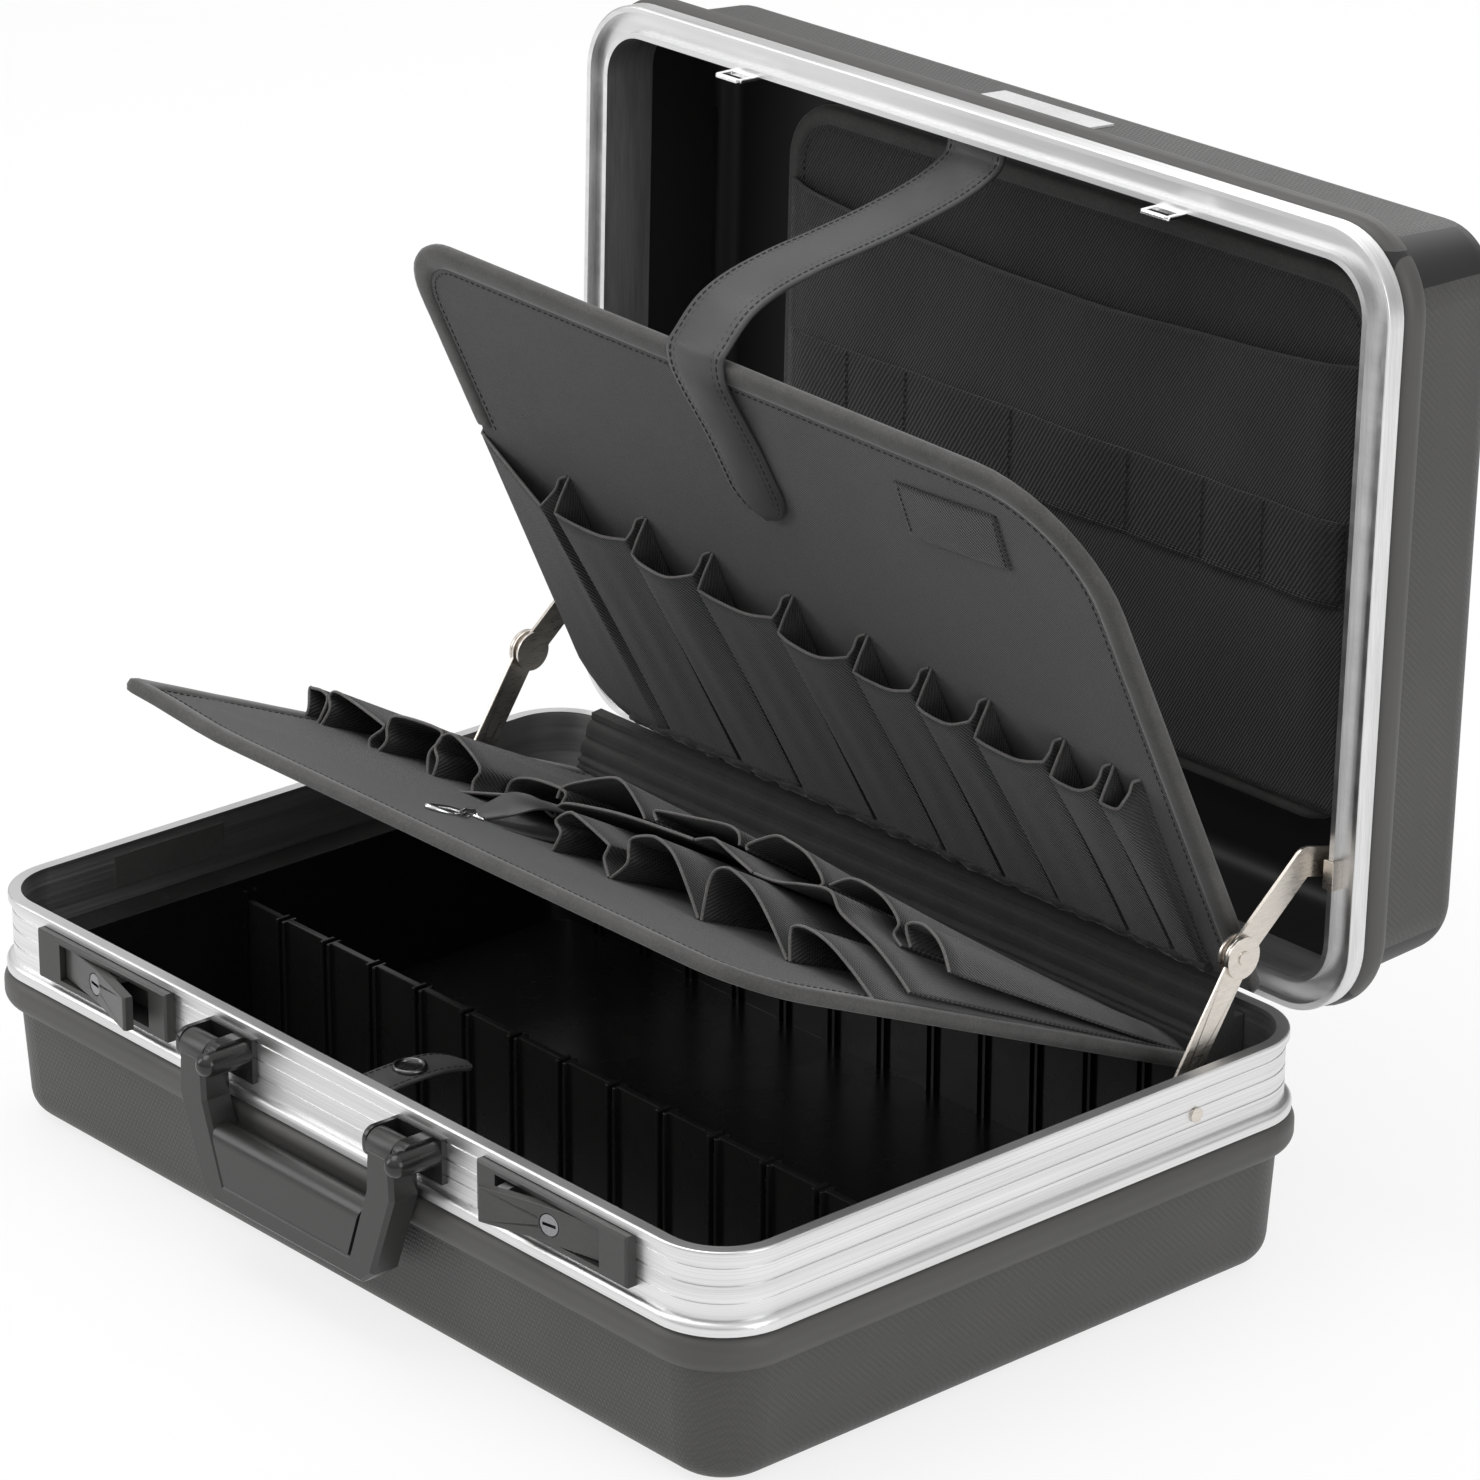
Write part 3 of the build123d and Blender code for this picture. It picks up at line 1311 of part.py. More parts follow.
def pieces():
    """Every node of the case, by name."""
    nodes = {
        "base_shell": base_shell(),
        "base_frame": base_frame(),
        "liner_tray": liner_tray(),
        "long_divider": long_divider(),
        "inner_label": inner_label(),
        "board_spine": board_spine(),
        "front_strap": front_strap(),
        "strap_stud": strap_stud(),
        "lid_shell": lid_shell(),
        "lid_frame": lid_frame(),
        "badge_plate": badge_plate(),
        "catch_loop_left": catch_loop(-hook_left_x),
        "catch_loop_right": catch_loop(hook_right_x),
        "document_panel": document_panel(),
        "document_pocket": document_pocket(),
        "elastic_band": elastic_band(),
        "hinge_leaves_base": hinge_leaves_base(),
        "hinge_leaves_lid": hinge_leaves_lid(),
        "hinge_pins": hinge_pins(),
        "hinge_rivets_base": hinge_rivets_base(),
        "hinge_rivets_lid": hinge_rivets_lid(),
        "stay_base_rivets": both(stay_base_rivet),
        "upper_board": board(upper_plane, True),
        "upper_board_binding": board_binding(upper_plane, True),
        "upper_board_pockets": upper_board_pockets(),
        "upper_board_patch": upper_board_patch(),
        "carry_strap": carry_strap(),
        "lower_board": board(lower_plane, False),
        "lower_board_binding": board_binding(lower_plane, False),
        "lower_board_wide_pocket": lower_board_wide_pocket(),
        "lower_board_back_pockets": lower_board_back_pockets(),
        "lower_board_front_pockets": lower_board_front_pockets(),
        "clip_strap": clip_strap(),
        "snap_hook": snap_hook(),
        "handle_bracket_left": handle_bracket(arm_places()[0]),
        "handle_bracket_right": handle_bracket(arm_places()[1]),
        "handle_pins": handle_pins(),
        "handle_frame": handle_frame(),
        "handle_grip": handle_grip(),
        "latch_pins": both(latch_pin),
    }
    paired = {
        "stay_lower_arm": stay_lower_arm,
        "stay_upper_arm": stay_upper_arm,
        "stay_mid_rivet": stay_mid_rivet,
        "stay_end_rivet": stay_end_rivet,
        "stay_anchor": stay_anchor,
        "latch_lever": latch_lever,
        "lock_cylinder": lock_cylinder,
    }
    for side, hook_x in (("left", hook_left_x), ("right", hook_right_x)):
        for name, maker in (("latch_housing_", latch_housing), ("latch_hook_", latch_hook)):
            piece = maker(hook_x)
            nodes[name + side] = mirrored(piece) if side == "left" else piece
    for name, maker in paired.items():
        right = maker()
        nodes[name + "_right"] = right
        nodes[name + "_left"] = mirrored(right)
    return nodes


def main():
    os.makedirs("parts", exist_ok=True)
    for name, shape in pieces().items():
        solids = shape if isinstance(shape, list) else [shape]
        moved = [Pos(0, centre_shift, 0) * one for one in solids]
        whole = moved[0] if len(moved) == 1 else Compound(children=[s for m in moved for s in m.solids()])
        export_step(whole, os.path.join("parts", name + ".step"))
        print(name, len(whole.solids()), round(whole.volume, 1))


if __name__ == "__main__":
    main()
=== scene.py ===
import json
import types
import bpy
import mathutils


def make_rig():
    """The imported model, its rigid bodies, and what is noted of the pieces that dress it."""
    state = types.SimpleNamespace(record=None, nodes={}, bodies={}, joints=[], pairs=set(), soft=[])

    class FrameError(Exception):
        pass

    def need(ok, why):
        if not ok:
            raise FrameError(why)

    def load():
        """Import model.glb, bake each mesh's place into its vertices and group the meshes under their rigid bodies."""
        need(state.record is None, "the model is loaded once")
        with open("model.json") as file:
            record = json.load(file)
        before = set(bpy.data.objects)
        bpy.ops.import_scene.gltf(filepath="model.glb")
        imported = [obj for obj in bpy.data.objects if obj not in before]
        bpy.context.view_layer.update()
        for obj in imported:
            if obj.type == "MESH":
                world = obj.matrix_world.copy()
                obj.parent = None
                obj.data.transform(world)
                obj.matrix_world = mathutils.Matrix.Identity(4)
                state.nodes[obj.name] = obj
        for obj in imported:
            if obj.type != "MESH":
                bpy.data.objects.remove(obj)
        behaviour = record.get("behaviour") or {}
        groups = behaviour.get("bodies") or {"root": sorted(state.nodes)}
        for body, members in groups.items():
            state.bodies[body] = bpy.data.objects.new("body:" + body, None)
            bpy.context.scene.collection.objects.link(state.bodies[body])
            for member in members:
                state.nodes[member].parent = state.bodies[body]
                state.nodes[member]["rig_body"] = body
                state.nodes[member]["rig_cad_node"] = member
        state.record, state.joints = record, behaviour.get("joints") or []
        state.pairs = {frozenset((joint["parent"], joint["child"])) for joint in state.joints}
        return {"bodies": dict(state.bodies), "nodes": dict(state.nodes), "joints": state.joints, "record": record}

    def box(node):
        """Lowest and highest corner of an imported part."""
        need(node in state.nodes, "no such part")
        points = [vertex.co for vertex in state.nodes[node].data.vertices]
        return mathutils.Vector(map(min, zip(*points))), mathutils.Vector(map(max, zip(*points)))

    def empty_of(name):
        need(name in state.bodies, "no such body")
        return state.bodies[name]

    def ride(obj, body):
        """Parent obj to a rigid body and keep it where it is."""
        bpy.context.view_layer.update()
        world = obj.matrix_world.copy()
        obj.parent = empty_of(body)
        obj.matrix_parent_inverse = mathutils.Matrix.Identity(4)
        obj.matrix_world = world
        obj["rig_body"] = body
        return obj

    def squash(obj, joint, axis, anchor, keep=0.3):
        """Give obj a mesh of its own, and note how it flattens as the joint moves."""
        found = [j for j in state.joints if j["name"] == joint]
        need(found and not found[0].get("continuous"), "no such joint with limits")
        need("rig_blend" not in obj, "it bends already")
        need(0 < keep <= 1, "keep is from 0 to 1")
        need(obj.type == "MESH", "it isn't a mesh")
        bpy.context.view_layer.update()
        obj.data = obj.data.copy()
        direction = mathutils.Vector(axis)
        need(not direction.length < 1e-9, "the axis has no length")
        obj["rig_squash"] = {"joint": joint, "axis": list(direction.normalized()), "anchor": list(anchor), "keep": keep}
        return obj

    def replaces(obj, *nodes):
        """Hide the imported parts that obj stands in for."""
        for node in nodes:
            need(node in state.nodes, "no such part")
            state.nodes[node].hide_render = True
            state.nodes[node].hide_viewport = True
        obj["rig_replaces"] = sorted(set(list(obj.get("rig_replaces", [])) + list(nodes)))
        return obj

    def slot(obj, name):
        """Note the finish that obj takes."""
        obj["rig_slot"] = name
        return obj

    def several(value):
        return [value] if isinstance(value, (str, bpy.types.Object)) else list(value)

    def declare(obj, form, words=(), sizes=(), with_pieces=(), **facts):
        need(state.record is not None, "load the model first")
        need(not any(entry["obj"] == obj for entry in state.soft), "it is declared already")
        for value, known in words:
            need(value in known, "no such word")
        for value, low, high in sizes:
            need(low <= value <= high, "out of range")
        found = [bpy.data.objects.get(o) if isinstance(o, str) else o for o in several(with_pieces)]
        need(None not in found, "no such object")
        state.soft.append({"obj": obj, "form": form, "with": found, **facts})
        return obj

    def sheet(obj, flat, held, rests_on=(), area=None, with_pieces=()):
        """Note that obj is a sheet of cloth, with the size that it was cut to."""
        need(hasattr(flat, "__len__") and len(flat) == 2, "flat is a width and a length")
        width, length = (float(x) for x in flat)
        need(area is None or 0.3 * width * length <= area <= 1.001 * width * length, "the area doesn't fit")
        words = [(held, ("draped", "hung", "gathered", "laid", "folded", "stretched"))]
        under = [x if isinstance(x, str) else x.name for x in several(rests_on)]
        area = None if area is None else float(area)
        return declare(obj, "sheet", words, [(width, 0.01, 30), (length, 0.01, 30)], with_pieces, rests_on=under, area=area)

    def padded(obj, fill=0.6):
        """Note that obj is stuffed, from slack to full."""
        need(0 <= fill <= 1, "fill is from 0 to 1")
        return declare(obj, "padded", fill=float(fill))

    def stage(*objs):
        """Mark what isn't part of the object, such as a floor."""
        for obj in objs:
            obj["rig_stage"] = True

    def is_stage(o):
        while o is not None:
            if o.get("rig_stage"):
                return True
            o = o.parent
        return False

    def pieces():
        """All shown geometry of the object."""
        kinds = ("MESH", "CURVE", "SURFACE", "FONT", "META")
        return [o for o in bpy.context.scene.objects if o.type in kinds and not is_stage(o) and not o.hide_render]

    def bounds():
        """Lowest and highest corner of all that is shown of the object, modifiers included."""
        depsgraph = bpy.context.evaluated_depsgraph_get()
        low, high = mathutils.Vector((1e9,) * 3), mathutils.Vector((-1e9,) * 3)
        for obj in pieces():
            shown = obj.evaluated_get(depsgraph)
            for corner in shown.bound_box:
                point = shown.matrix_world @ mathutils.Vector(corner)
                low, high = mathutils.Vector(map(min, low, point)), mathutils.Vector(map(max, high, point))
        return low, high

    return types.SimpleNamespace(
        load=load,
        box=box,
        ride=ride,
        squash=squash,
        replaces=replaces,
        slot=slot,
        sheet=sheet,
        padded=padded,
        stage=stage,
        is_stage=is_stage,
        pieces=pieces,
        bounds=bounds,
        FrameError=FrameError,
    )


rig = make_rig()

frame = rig.load()

import json
import math
import random

import bmesh
import bpy
from mathutils import Matrix, Vector

# Looks of a tool case that stands open: moulded shells with aluminium frames, a black
# liner, and two cloth covered tool boards with bellows pockets.
# Sizes are in mm on the drawing of the case (y = 0 in the middle of the base, z = 0 on
# the floor) and are turned into metres in the row frame by the helpers below.

random.seed(7)
cad_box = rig.bounds()
MM = 0.001
JOINTS = {j["name"]: j for j in frame["joints"]}
frame_low, frame_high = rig.box("base_frame")
BASE_MIDDLE_Y = (frame_low.y + frame_high.y) / 2
RIM_TOP = frame_high.z / MM

# Lid, shut and open
OPEN_LEAN = math.radians(91.5)
HINGE_Y, HINGE_Z = 159.65, RIM_TOP - 6.3
LIP_Z = RIM_TOP - 2.9
LID_NORMAL = Vector((0, math.sin(OPEN_LEAN), math.cos(OPEN_LEAN)))

# Boards
PANEL_FACE = 1.7
CLOTH = 0.9                  # thickness of pocket cloth
LIP_RADIUS = 0.62            # bound edge of a pocket's mouth


def place(x, y, z):
    """A point of the drawing, in metres in the row frame."""
    return Vector((x * MM, y * MM + BASE_MIDDLE_Y, z * MM))


def lid_place(x, y, z):
    """A point of the shut lid's drawing, where it lies with the lid open."""
    dy, dz = y - HINGE_Y, z - HINGE_Z
    c, s = math.cos(OPEN_LEAN), math.sin(OPEN_LEAN)
    return place(x, HINGE_Y + dy * c + dz * s, HINGE_Z - dy * s + dz * c)


def eased(value, start, end):
    """0 before start, 1 past end, and smooth between them."""
    t = min(1.0, max(0.0, (value - start) / (end - start)))
    return t * t * (3 - 2 * t)


class Board:
    """x along the case, s out from the board's hinge, n up from its pocket side, in mm."""

    def __init__(self, joint, angle, side, left, right, length, fall, corners, curl):
        a = math.radians(angle)
        self.origin = Vector(JOINTS[joint]["pos_m"])
        self.out = Vector((0, math.cos(a), math.sin(a)))
        self.up = Vector((0, -math.sin(a), math.cos(a))) * side
        self.joint, self.left, self.right, self.length = joint, left, right, length
        self.fall = fall / (left + right)
        self.corner_left, self.corner_right = corners
        self.curl = curl

    def at(self, x, s, n):
        return self.origin + (Vector((x, 0, 0)) + self.out * s + self.up * n) * MM

    def on(self, x, s, n):
        """The same on the board's own surface, which is curled."""
        return self.at(x, s, n + self.curl(x, s))


def upper_curl(x, s):
    return 0.0


def lower_curl(x, s):
    """The left half of the lower board stands up a little, most along its left edge."""
    bulge = eased(-x, -20, 80) * (1 - eased(s, 205, 250))
    return 3.6 * max(bulge, eased(-x, 120, 188))


UPPER = Board("upper_board_fold", 115.0, 1, 183.0, 204.0, 254.0, 16.0, (32.0, 56.0), upper_curl)
LOWER = Board("lower_board_fold", 156.3, -1, 190.0, 190.0, 258.0, 0.0, (8.0, 34.0), lower_curl)


# Node helpers for materials

def link(tree, a, b):
    tree.links.new(a, b)


def node(tree, kind, **settings):
    made = tree.nodes.new(kind)
    for key, value in settings.items():
        setattr(made, key, value)
    return made


def math_node(tree, operation, a, b=None):
    made = node(tree, "ShaderNodeMath", operation=operation)
    for i, value in enumerate((a, b)):
        if value is None:
            continue
        if isinstance(value, (int, float)):
            made.inputs[i].default_value = value
        else:
            link(tree, value, made.inputs[i])
    return made.outputs[0]


def weighted(tree, a, share_a, b, share_b):
    """a and b, each times its share, added together."""
    first = math_node(tree, "MULTIPLY", a, share_a)
    return math_node(tree, "ADD", first, math_node(tree, "MULTIPLY", b, share_b))


def coordinates(tree, kind, scale, rotation=(0, 0, 0)):
    """Texture coordinates of that kind, times scale."""
    source = node(tree, "ShaderNodeTexCoord")
    mapping = node(tree, "ShaderNodeMapping")
    mapping.inputs["Scale"].default_value = scale if hasattr(scale, "__len__") else (scale,) * 3
    mapping.inputs["Rotation"].default_value = [math.radians(r) for r in rotation]
    link(tree, source.outputs[kind], mapping.inputs["Vector"])
    return mapping.outputs["Vector"]


def noise(tree, vector, scale, detail=3.0, rough=0.55):
    made = node(tree, "ShaderNodeTexNoise")
    made.inputs["Scale"].default_value = scale
    made.inputs["Detail"].default_value = detail
    made.inputs["Roughness"].default_value = rough
    link(tree, vector, made.inputs["Vector"])
    return made.outputs["Fac"]


def ramp(tree, fac, low, high, start=0.0, end=1.0):
    """A colour from low to high as fac goes from start to end."""
    made = node(tree, "ShaderNodeValToRGB")
    made.color_ramp.elements[0].color = (*low, 1)
    made.color_ramp.elements[1].color = (*high, 1)
    made.color_ramp.elements[0].position = start
    made.color_ramp.elements[1].position = end
    link(tree, fac, made.inputs["Fac"])
    return made.outputs["Color"]


def grey(value, tint=(1.0, 1.0, 1.0)):
    return tuple(value * t for t in tint)


def vary(tree, bsdf, socket, fac, low, high, start, end):
    """Drives a socket of the shader from low to high as fac goes from start to end."""
    link(tree, ramp(tree, fac, low, high, start, end), bsdf.inputs[socket])


def bump(tree, bsdf, height, strength, distance, before=None):
    made = node(tree, "ShaderNodeBump")
    made.inputs["Strength"].default_value = strength
    made.inputs["Distance"].default_value = distance
    link(tree, height, made.inputs["Height"])
    if before is not None:
        link(tree, before, made.inputs["Normal"])
    link(tree, made.outputs["Normal"], bsdf.inputs["Normal"])
    return made.outputs["Normal"]


def material(name, roughness, metallic=0.0, **sockets):
    made = bpy.data.materials.new(name)
    made.use_nodes = True
    tree = made.node_tree
    bsdf = tree.nodes["Principled BSDF"]
    bsdf.inputs["Roughness"].default_value = roughness
    bsdf.inputs["Metallic"].default_value = metallic
    for key, value in sockets.items():
        bsdf.inputs[key.replace("_", " ")].default_value = value
    return made, tree, bsdf


WARM = (1.0, 0.965, 0.945)
COOL = (0.97, 0.97, 1.0)


LINING_HALF_X, LINING_HALF_Y = 221.8, 150.8   # within these the lid shell is its inside
BEAD_FOOT_DROP = 48.5                         # from the rim down to the shell's grained wall


def moulded_shell(name, dark_inside):
    """Grained walls, a smooth shoulder, and on the lid a smooth black inside."""
    made, tree, bsdf = material(name, 0.5)
    grain = node(tree, "ShaderNodeTexVoronoi", feature="F1")
    grain.inputs["Scale"].default_value = 1.0
    grain.inputs["Randomness"].default_value = 0.12
    link(tree, coordinates(tree, "Object", 1 / (1.55 * MM), (45, 45, 0)), grain.inputs["Vector"])
    place_in = node(tree, "ShaderNodeSeparateXYZ")
    link(tree, coordinates(tree, "Object", 1.0), place_in.inputs[0])
    if dark_inside:
        hinge = lid_place(0, HINGE_Y, HINGE_Z)
        offset = node(tree, "ShaderNodeVectorMath", operation="SUBTRACT")
        link(tree, coordinates(tree, "Object", 1.0), offset.inputs[0])
        offset.inputs[1].default_value = hinge
        depth = node(tree, "ShaderNodeVectorMath", operation="DOT_PRODUCT")
        link(tree, offset.outputs[0], depth.inputs[0])
        depth.inputs[1].default_value = LID_NORMAL
        high = depth.outputs["Value"]
        shoulder_top = (LIP_Z + 22.2 - HINGE_Z) * MM
        walls = math_node(tree, "GREATER_THAN", high, shoulder_top)
    else:
        walls = math_node(tree, "LESS_THAN", place_in.outputs["Z"], (RIM_TOP - BEAD_FOOT_DROP) * MM)
    dots = math_node(tree, "MULTIPLY", grain.outputs["Distance"], walls)
    blotch = noise(tree, coordinates(tree, "Object", 1.0), 9.0, 4.0)
    fine = noise(tree, coordinates(tree, "Object", 1.0), 900.0, 2.0)
    tone = weighted(tree, blotch, 0.35, dots, 0.75)
    colour = ramp(tree, tone, grey(0.074, WARM), grey(0.046, WARM), 0.1, 0.75)
    relief = math_node(tree, "ADD", dots, math_node(tree, "MULTIPLY", fine, 0.12))
    if dark_inside:
        across = math_node(tree, "ABSOLUTE", place_in.outputs["X"])
        drawn_in = math_node(tree, "ADD", across, math_node(tree, "MULTIPLY", high, 0.055))
        along = node(tree, "ShaderNodeVectorMath", operation="DOT_PRODUCT")
        link(tree, offset.outputs[0], along.inputs[0])
        along.inputs[1].default_value = Vector((0, math.cos(OPEN_LEAN), -math.sin(OPEN_LEAN)))
        from_middle = math_node(tree, "ADD", along.outputs["Value"], HINGE_Y * MM)
        from_middle = math_node(tree, "ABSOLUTE", from_middle)
        drawn_along = math_node(tree, "ADD", from_middle, math_node(tree, "MULTIPLY", high, 0.055))
        inside = math_node(tree, "LESS_THAN", drawn_in, LINING_HALF_X * MM)
        inside_along = math_node(tree, "LESS_THAN", drawn_along, LINING_HALF_Y * MM)
        inside = math_node(tree, "MULTIPLY", inside, inside_along)
        inside = math_node(tree, "MULTIPLY", inside, math_node(tree, "LESS_THAN", high, 75.0 * MM))
        mix = node(tree, "ShaderNodeMix", data_type="RGBA")
        link(tree, inside, mix.inputs["Factor"])
        link(tree, colour, mix.inputs["A"])
        mix.inputs["B"].default_value = (0.010, 0.0095, 0.0095, 1)
        colour = mix.outputs["Result"]
        outside = math_node(tree, "SUBTRACT", 1.0, inside)
        relief = math_node(tree, "MULTIPLY", relief, outside)
    link(tree, colour, bsdf.inputs["Base Color"])
    vary(tree, bsdf, "Roughness", blotch, grey(0.44), grey(0.56), 0.2, 0.8)
    bump(tree, bsdf, relief, 0.55, 0.5 * MM)
    return made


def drawn_aluminium(name, across):
    """Aluminium drawn lengthwise: streaks vary only along the direction across."""
    made, tree, bsdf = material(name, 0.3, 1.0)
    scale = [4.0 + 1500.0 * abs(component) for component in across]
    streaks = noise(tree, coordinates(tree, "Object", scale), 1.0, 3.0, 0.7)
    broad_scale = [7.0 + 120.0 * abs(component) for component in across]
    broad = noise(tree, coordinates(tree, "Object", broad_scale), 1.0, 2.0)
    tone = weighted(tree, streaks, 0.6, broad, 0.4)
    vary(tree, bsdf, "Base Color", tone, grey(0.60), grey(0.90), 0.3, 0.68)
    vary(tree, bsdf, "Roughness", tone, grey(0.30), grey(0.48), 0.3, 0.7)
    bump(tree, bsdf, streaks, 0.14, 0.15 * MM)
    return made


def metal(name, colour, roughness, scratch=0.08):
    made, tree, bsdf = material(name, roughness, 1.0)
    marks = noise(tree, coordinates(tree, "Object", (900, 160, 900)), 1.0, 3.0, 0.7)
    dark = tuple(c * 0.82 for c in colour)
    vary(tree, bsdf, "Base Color", marks, dark, colour, 0.3, 0.65)
    vary(tree, bsdf, "Roughness", marks, grey(roughness * 0.8), grey(roughness * 1.3), 0.3, 0.7)
    bump(tree, bsdf, marks, scratch, 0.1 * MM)
    return made


def plastic(name, value, roughness, grain=0.1, tint=WARM, spots=700.0):
    """Moulded plastic with a fine satin grain."""
    made, tree, bsdf = material(name, roughness)
    fine = noise(tree, coordinates(tree, "Object", 1.0), spots, 3.0)
    broad = noise(tree, coordinates(tree, "Object", 1.0), 30.0, 3.0)
    tone = weighted(tree, fine, 0.5, broad, 0.5)
    vary(tree, bsdf, "Base Color", tone, grey(value * 0.82, tint), grey(value * 1.15, tint), 0.3, 0.7)
    vary(tree, bsdf, "Roughness", broad, grey(roughness * 0.88), grey(roughness * 1.12), 0.3, 0.7)
    bump(tree, bsdf, fine, grain, 0.2 * MM)
    return made


def twill(name, value, pitch=1.25, tint=COOL, sheen=0.25):
    """Twill weave laid along the cloth's own coordinates, in metres."""
    made, tree, bsdf = material(name, 0.82, Sheen_Weight=sheen, Sheen_Roughness=0.45)
    parts = node(tree, "ShaderNodeSeparateXYZ")
    link(tree, coordinates(tree, "UV", 1 / (pitch * MM)), parts.inputs[0])
    wobble = noise(tree, coordinates(tree, "UV", 1.0), 260.0, 2.0)
    slant = math_node(tree, "ADD", parts.outputs["X"], math_node(tree, "MULTIPLY", parts.outputs["Y"], 0.62))
    slant = math_node(tree, "ADD", slant, math_node(tree, "MULTIPLY", wobble, 0.5))
    ridge = math_node(tree, "SINE", math_node(tree, "MULTIPLY", slant, 2 * math.pi))
    cross = math_node(tree, "SINE", math_node(tree, "MULTIPLY", parts.outputs["Y"], 2 * math.pi * 1.9))
    weave = weighted(tree, ridge, 0.36, cross, 0.14)
    weave = math_node(tree, "ADD", weave, 0.5)
    broad = noise(tree, coordinates(tree, "UV", 1.0), 14.0, 4.0, 0.6)
    tone = weighted(tree, weave, 0.62, broad, 0.38)
    vary(tree, bsdf, "Base Color", tone, grey(value * 0.3, tint), grey(value * 1.9, tint), 0.15, 0.85)
    soft = bump(tree, bsdf, broad, 0.3, 3.0 * MM)
    bump(tree, bsdf, weave, 0.9, 0.5 * MM, soft)
    return made


def binding_cloth(name, value, tint=WARM):
    """Plain woven tape round an edge: fine cross ribs and soft creases."""
    made, tree, bsdf = material(name, 0.75, Sheen_Weight=0.3, Sheen_Roughness=0.4)
    fine = noise(tree, coordinates(tree, "Object", 1.0), 1100.0, 2.0)
    crease = noise(tree, coordinates(tree, "Object", 1.0), 70.0, 4.0, 0.65)
    tone = weighted(tree, fine, 0.55, crease, 0.45)
    vary(tree, bsdf, "Base Color", tone, grey(value * 0.6, tint), grey(value * 1.35, tint), 0.3, 0.72)
    soft = bump(tree, bsdf, crease, 0.35, 1.2 * MM)
    bump(tree, bsdf, fine, 0.35, 0.25 * MM, soft)
    return made


def leather(name, value):
    made, tree, bsdf = material(name, 0.42, Sheen_Weight=0.05)
    cells = node(tree, "ShaderNodeTexVoronoi", feature="DISTANCE_TO_EDGE")
    cells.inputs["Scale"].default_value = 1150.0
    link(tree, coordinates(tree, "Object", 1.0), cells.inputs["Vector"])
    broad = noise(tree, coordinates(tree, "Object", 1.0), 55.0, 4.0, 0.6)
    tone = weighted(tree, cells.outputs["Distance"], 0.4, broad, 0.8)
    vary(tree, bsdf, "Base Color", tone, grey(value * 0.62, COOL), grey(value * 1.2, COOL), 0.2, 0.75)
    vary(tree, bsdf, "Roughness", broad, grey(0.36), grey(0.54), 0.3, 0.7)
    bump(tree, bsdf, cells.outputs["Distance"], 0.3, 0.3 * MM)
    return made


BASE_SHELL = moulded_shell("grained shell of the base", False)
LID_SHELL = moulded_shell("grained shell of the lid", True)
BASE_ALUMINIUM = drawn_aluminium("drawn aluminium of the base", (0, 0, 1))
LID_ALUMINIUM = drawn_aluminium("drawn aluminium of the lid", (0, 1, 0.03))
LINER = plastic("black liner", 0.010, 0.27, 0.05, WARM, 400.0)
DIVIDER = plastic("black divider", 0.016, 0.28, 0.05, WARM, 400.0)
HARDWARE = plastic("dark hardware plastic", 0.030, 0.36, 0.10)
LEVER = plastic("latch plastic", 0.048, 0.32, 0.06)
HOUSING = plastic("latch housing plastic", 0.038, 0.36, 0.06)
BRACKET = plastic("polished bracket plastic", 0.016, 0.22, 0.04)
GRIP = plastic("grip plastic", 0.028, 0.32, 0.06)
BOARD_CLOTH = twill("board cloth", 0.036, 1.35)
POCKET_CLOTH = twill("pocket cloth", 0.026, 1.7)
LINING_CLOTH = twill("lid panel cloth", 0.029, 1.5)
ELASTIC = twill("elastic webbing", 0.021, 2.1)
BINDING = binding_cloth("edge binding", 0.062)
LIP_TAPE = binding_cloth("pocket edge tape", 0.125)
SPINE_CLOTH = binding_cloth("spine cover", 0.024)
STRAP = leather("grey leather", 0.048)
THREAD = binding_cloth("dark thread", 0.012)
NICKEL = metal("warm nickel", (0.74, 0.69, 0.63), 0.30)
CHROME = metal("bright plate", (0.86, 0.86, 0.87), 0.16)
STEEL = metal("plated steel", (0.52, 0.52, 0.52), 0.34)
LABEL = plastic("bare label film", 0.10, 0.34, 0.05)
BADGE = plastic("bare badge plate", 0.62, 0.35, 0.03, (1.0, 1.0, 1.0))
LIP_DARK = binding_cloth("lid pocket edge tape", 0.055)
STUD = metal("dark press stud", (0.16, 0.16, 0.16), 0.28)
LOCK = metal("dark lock", (0.30, 0.30, 0.31), 0.26)


# Mesh building

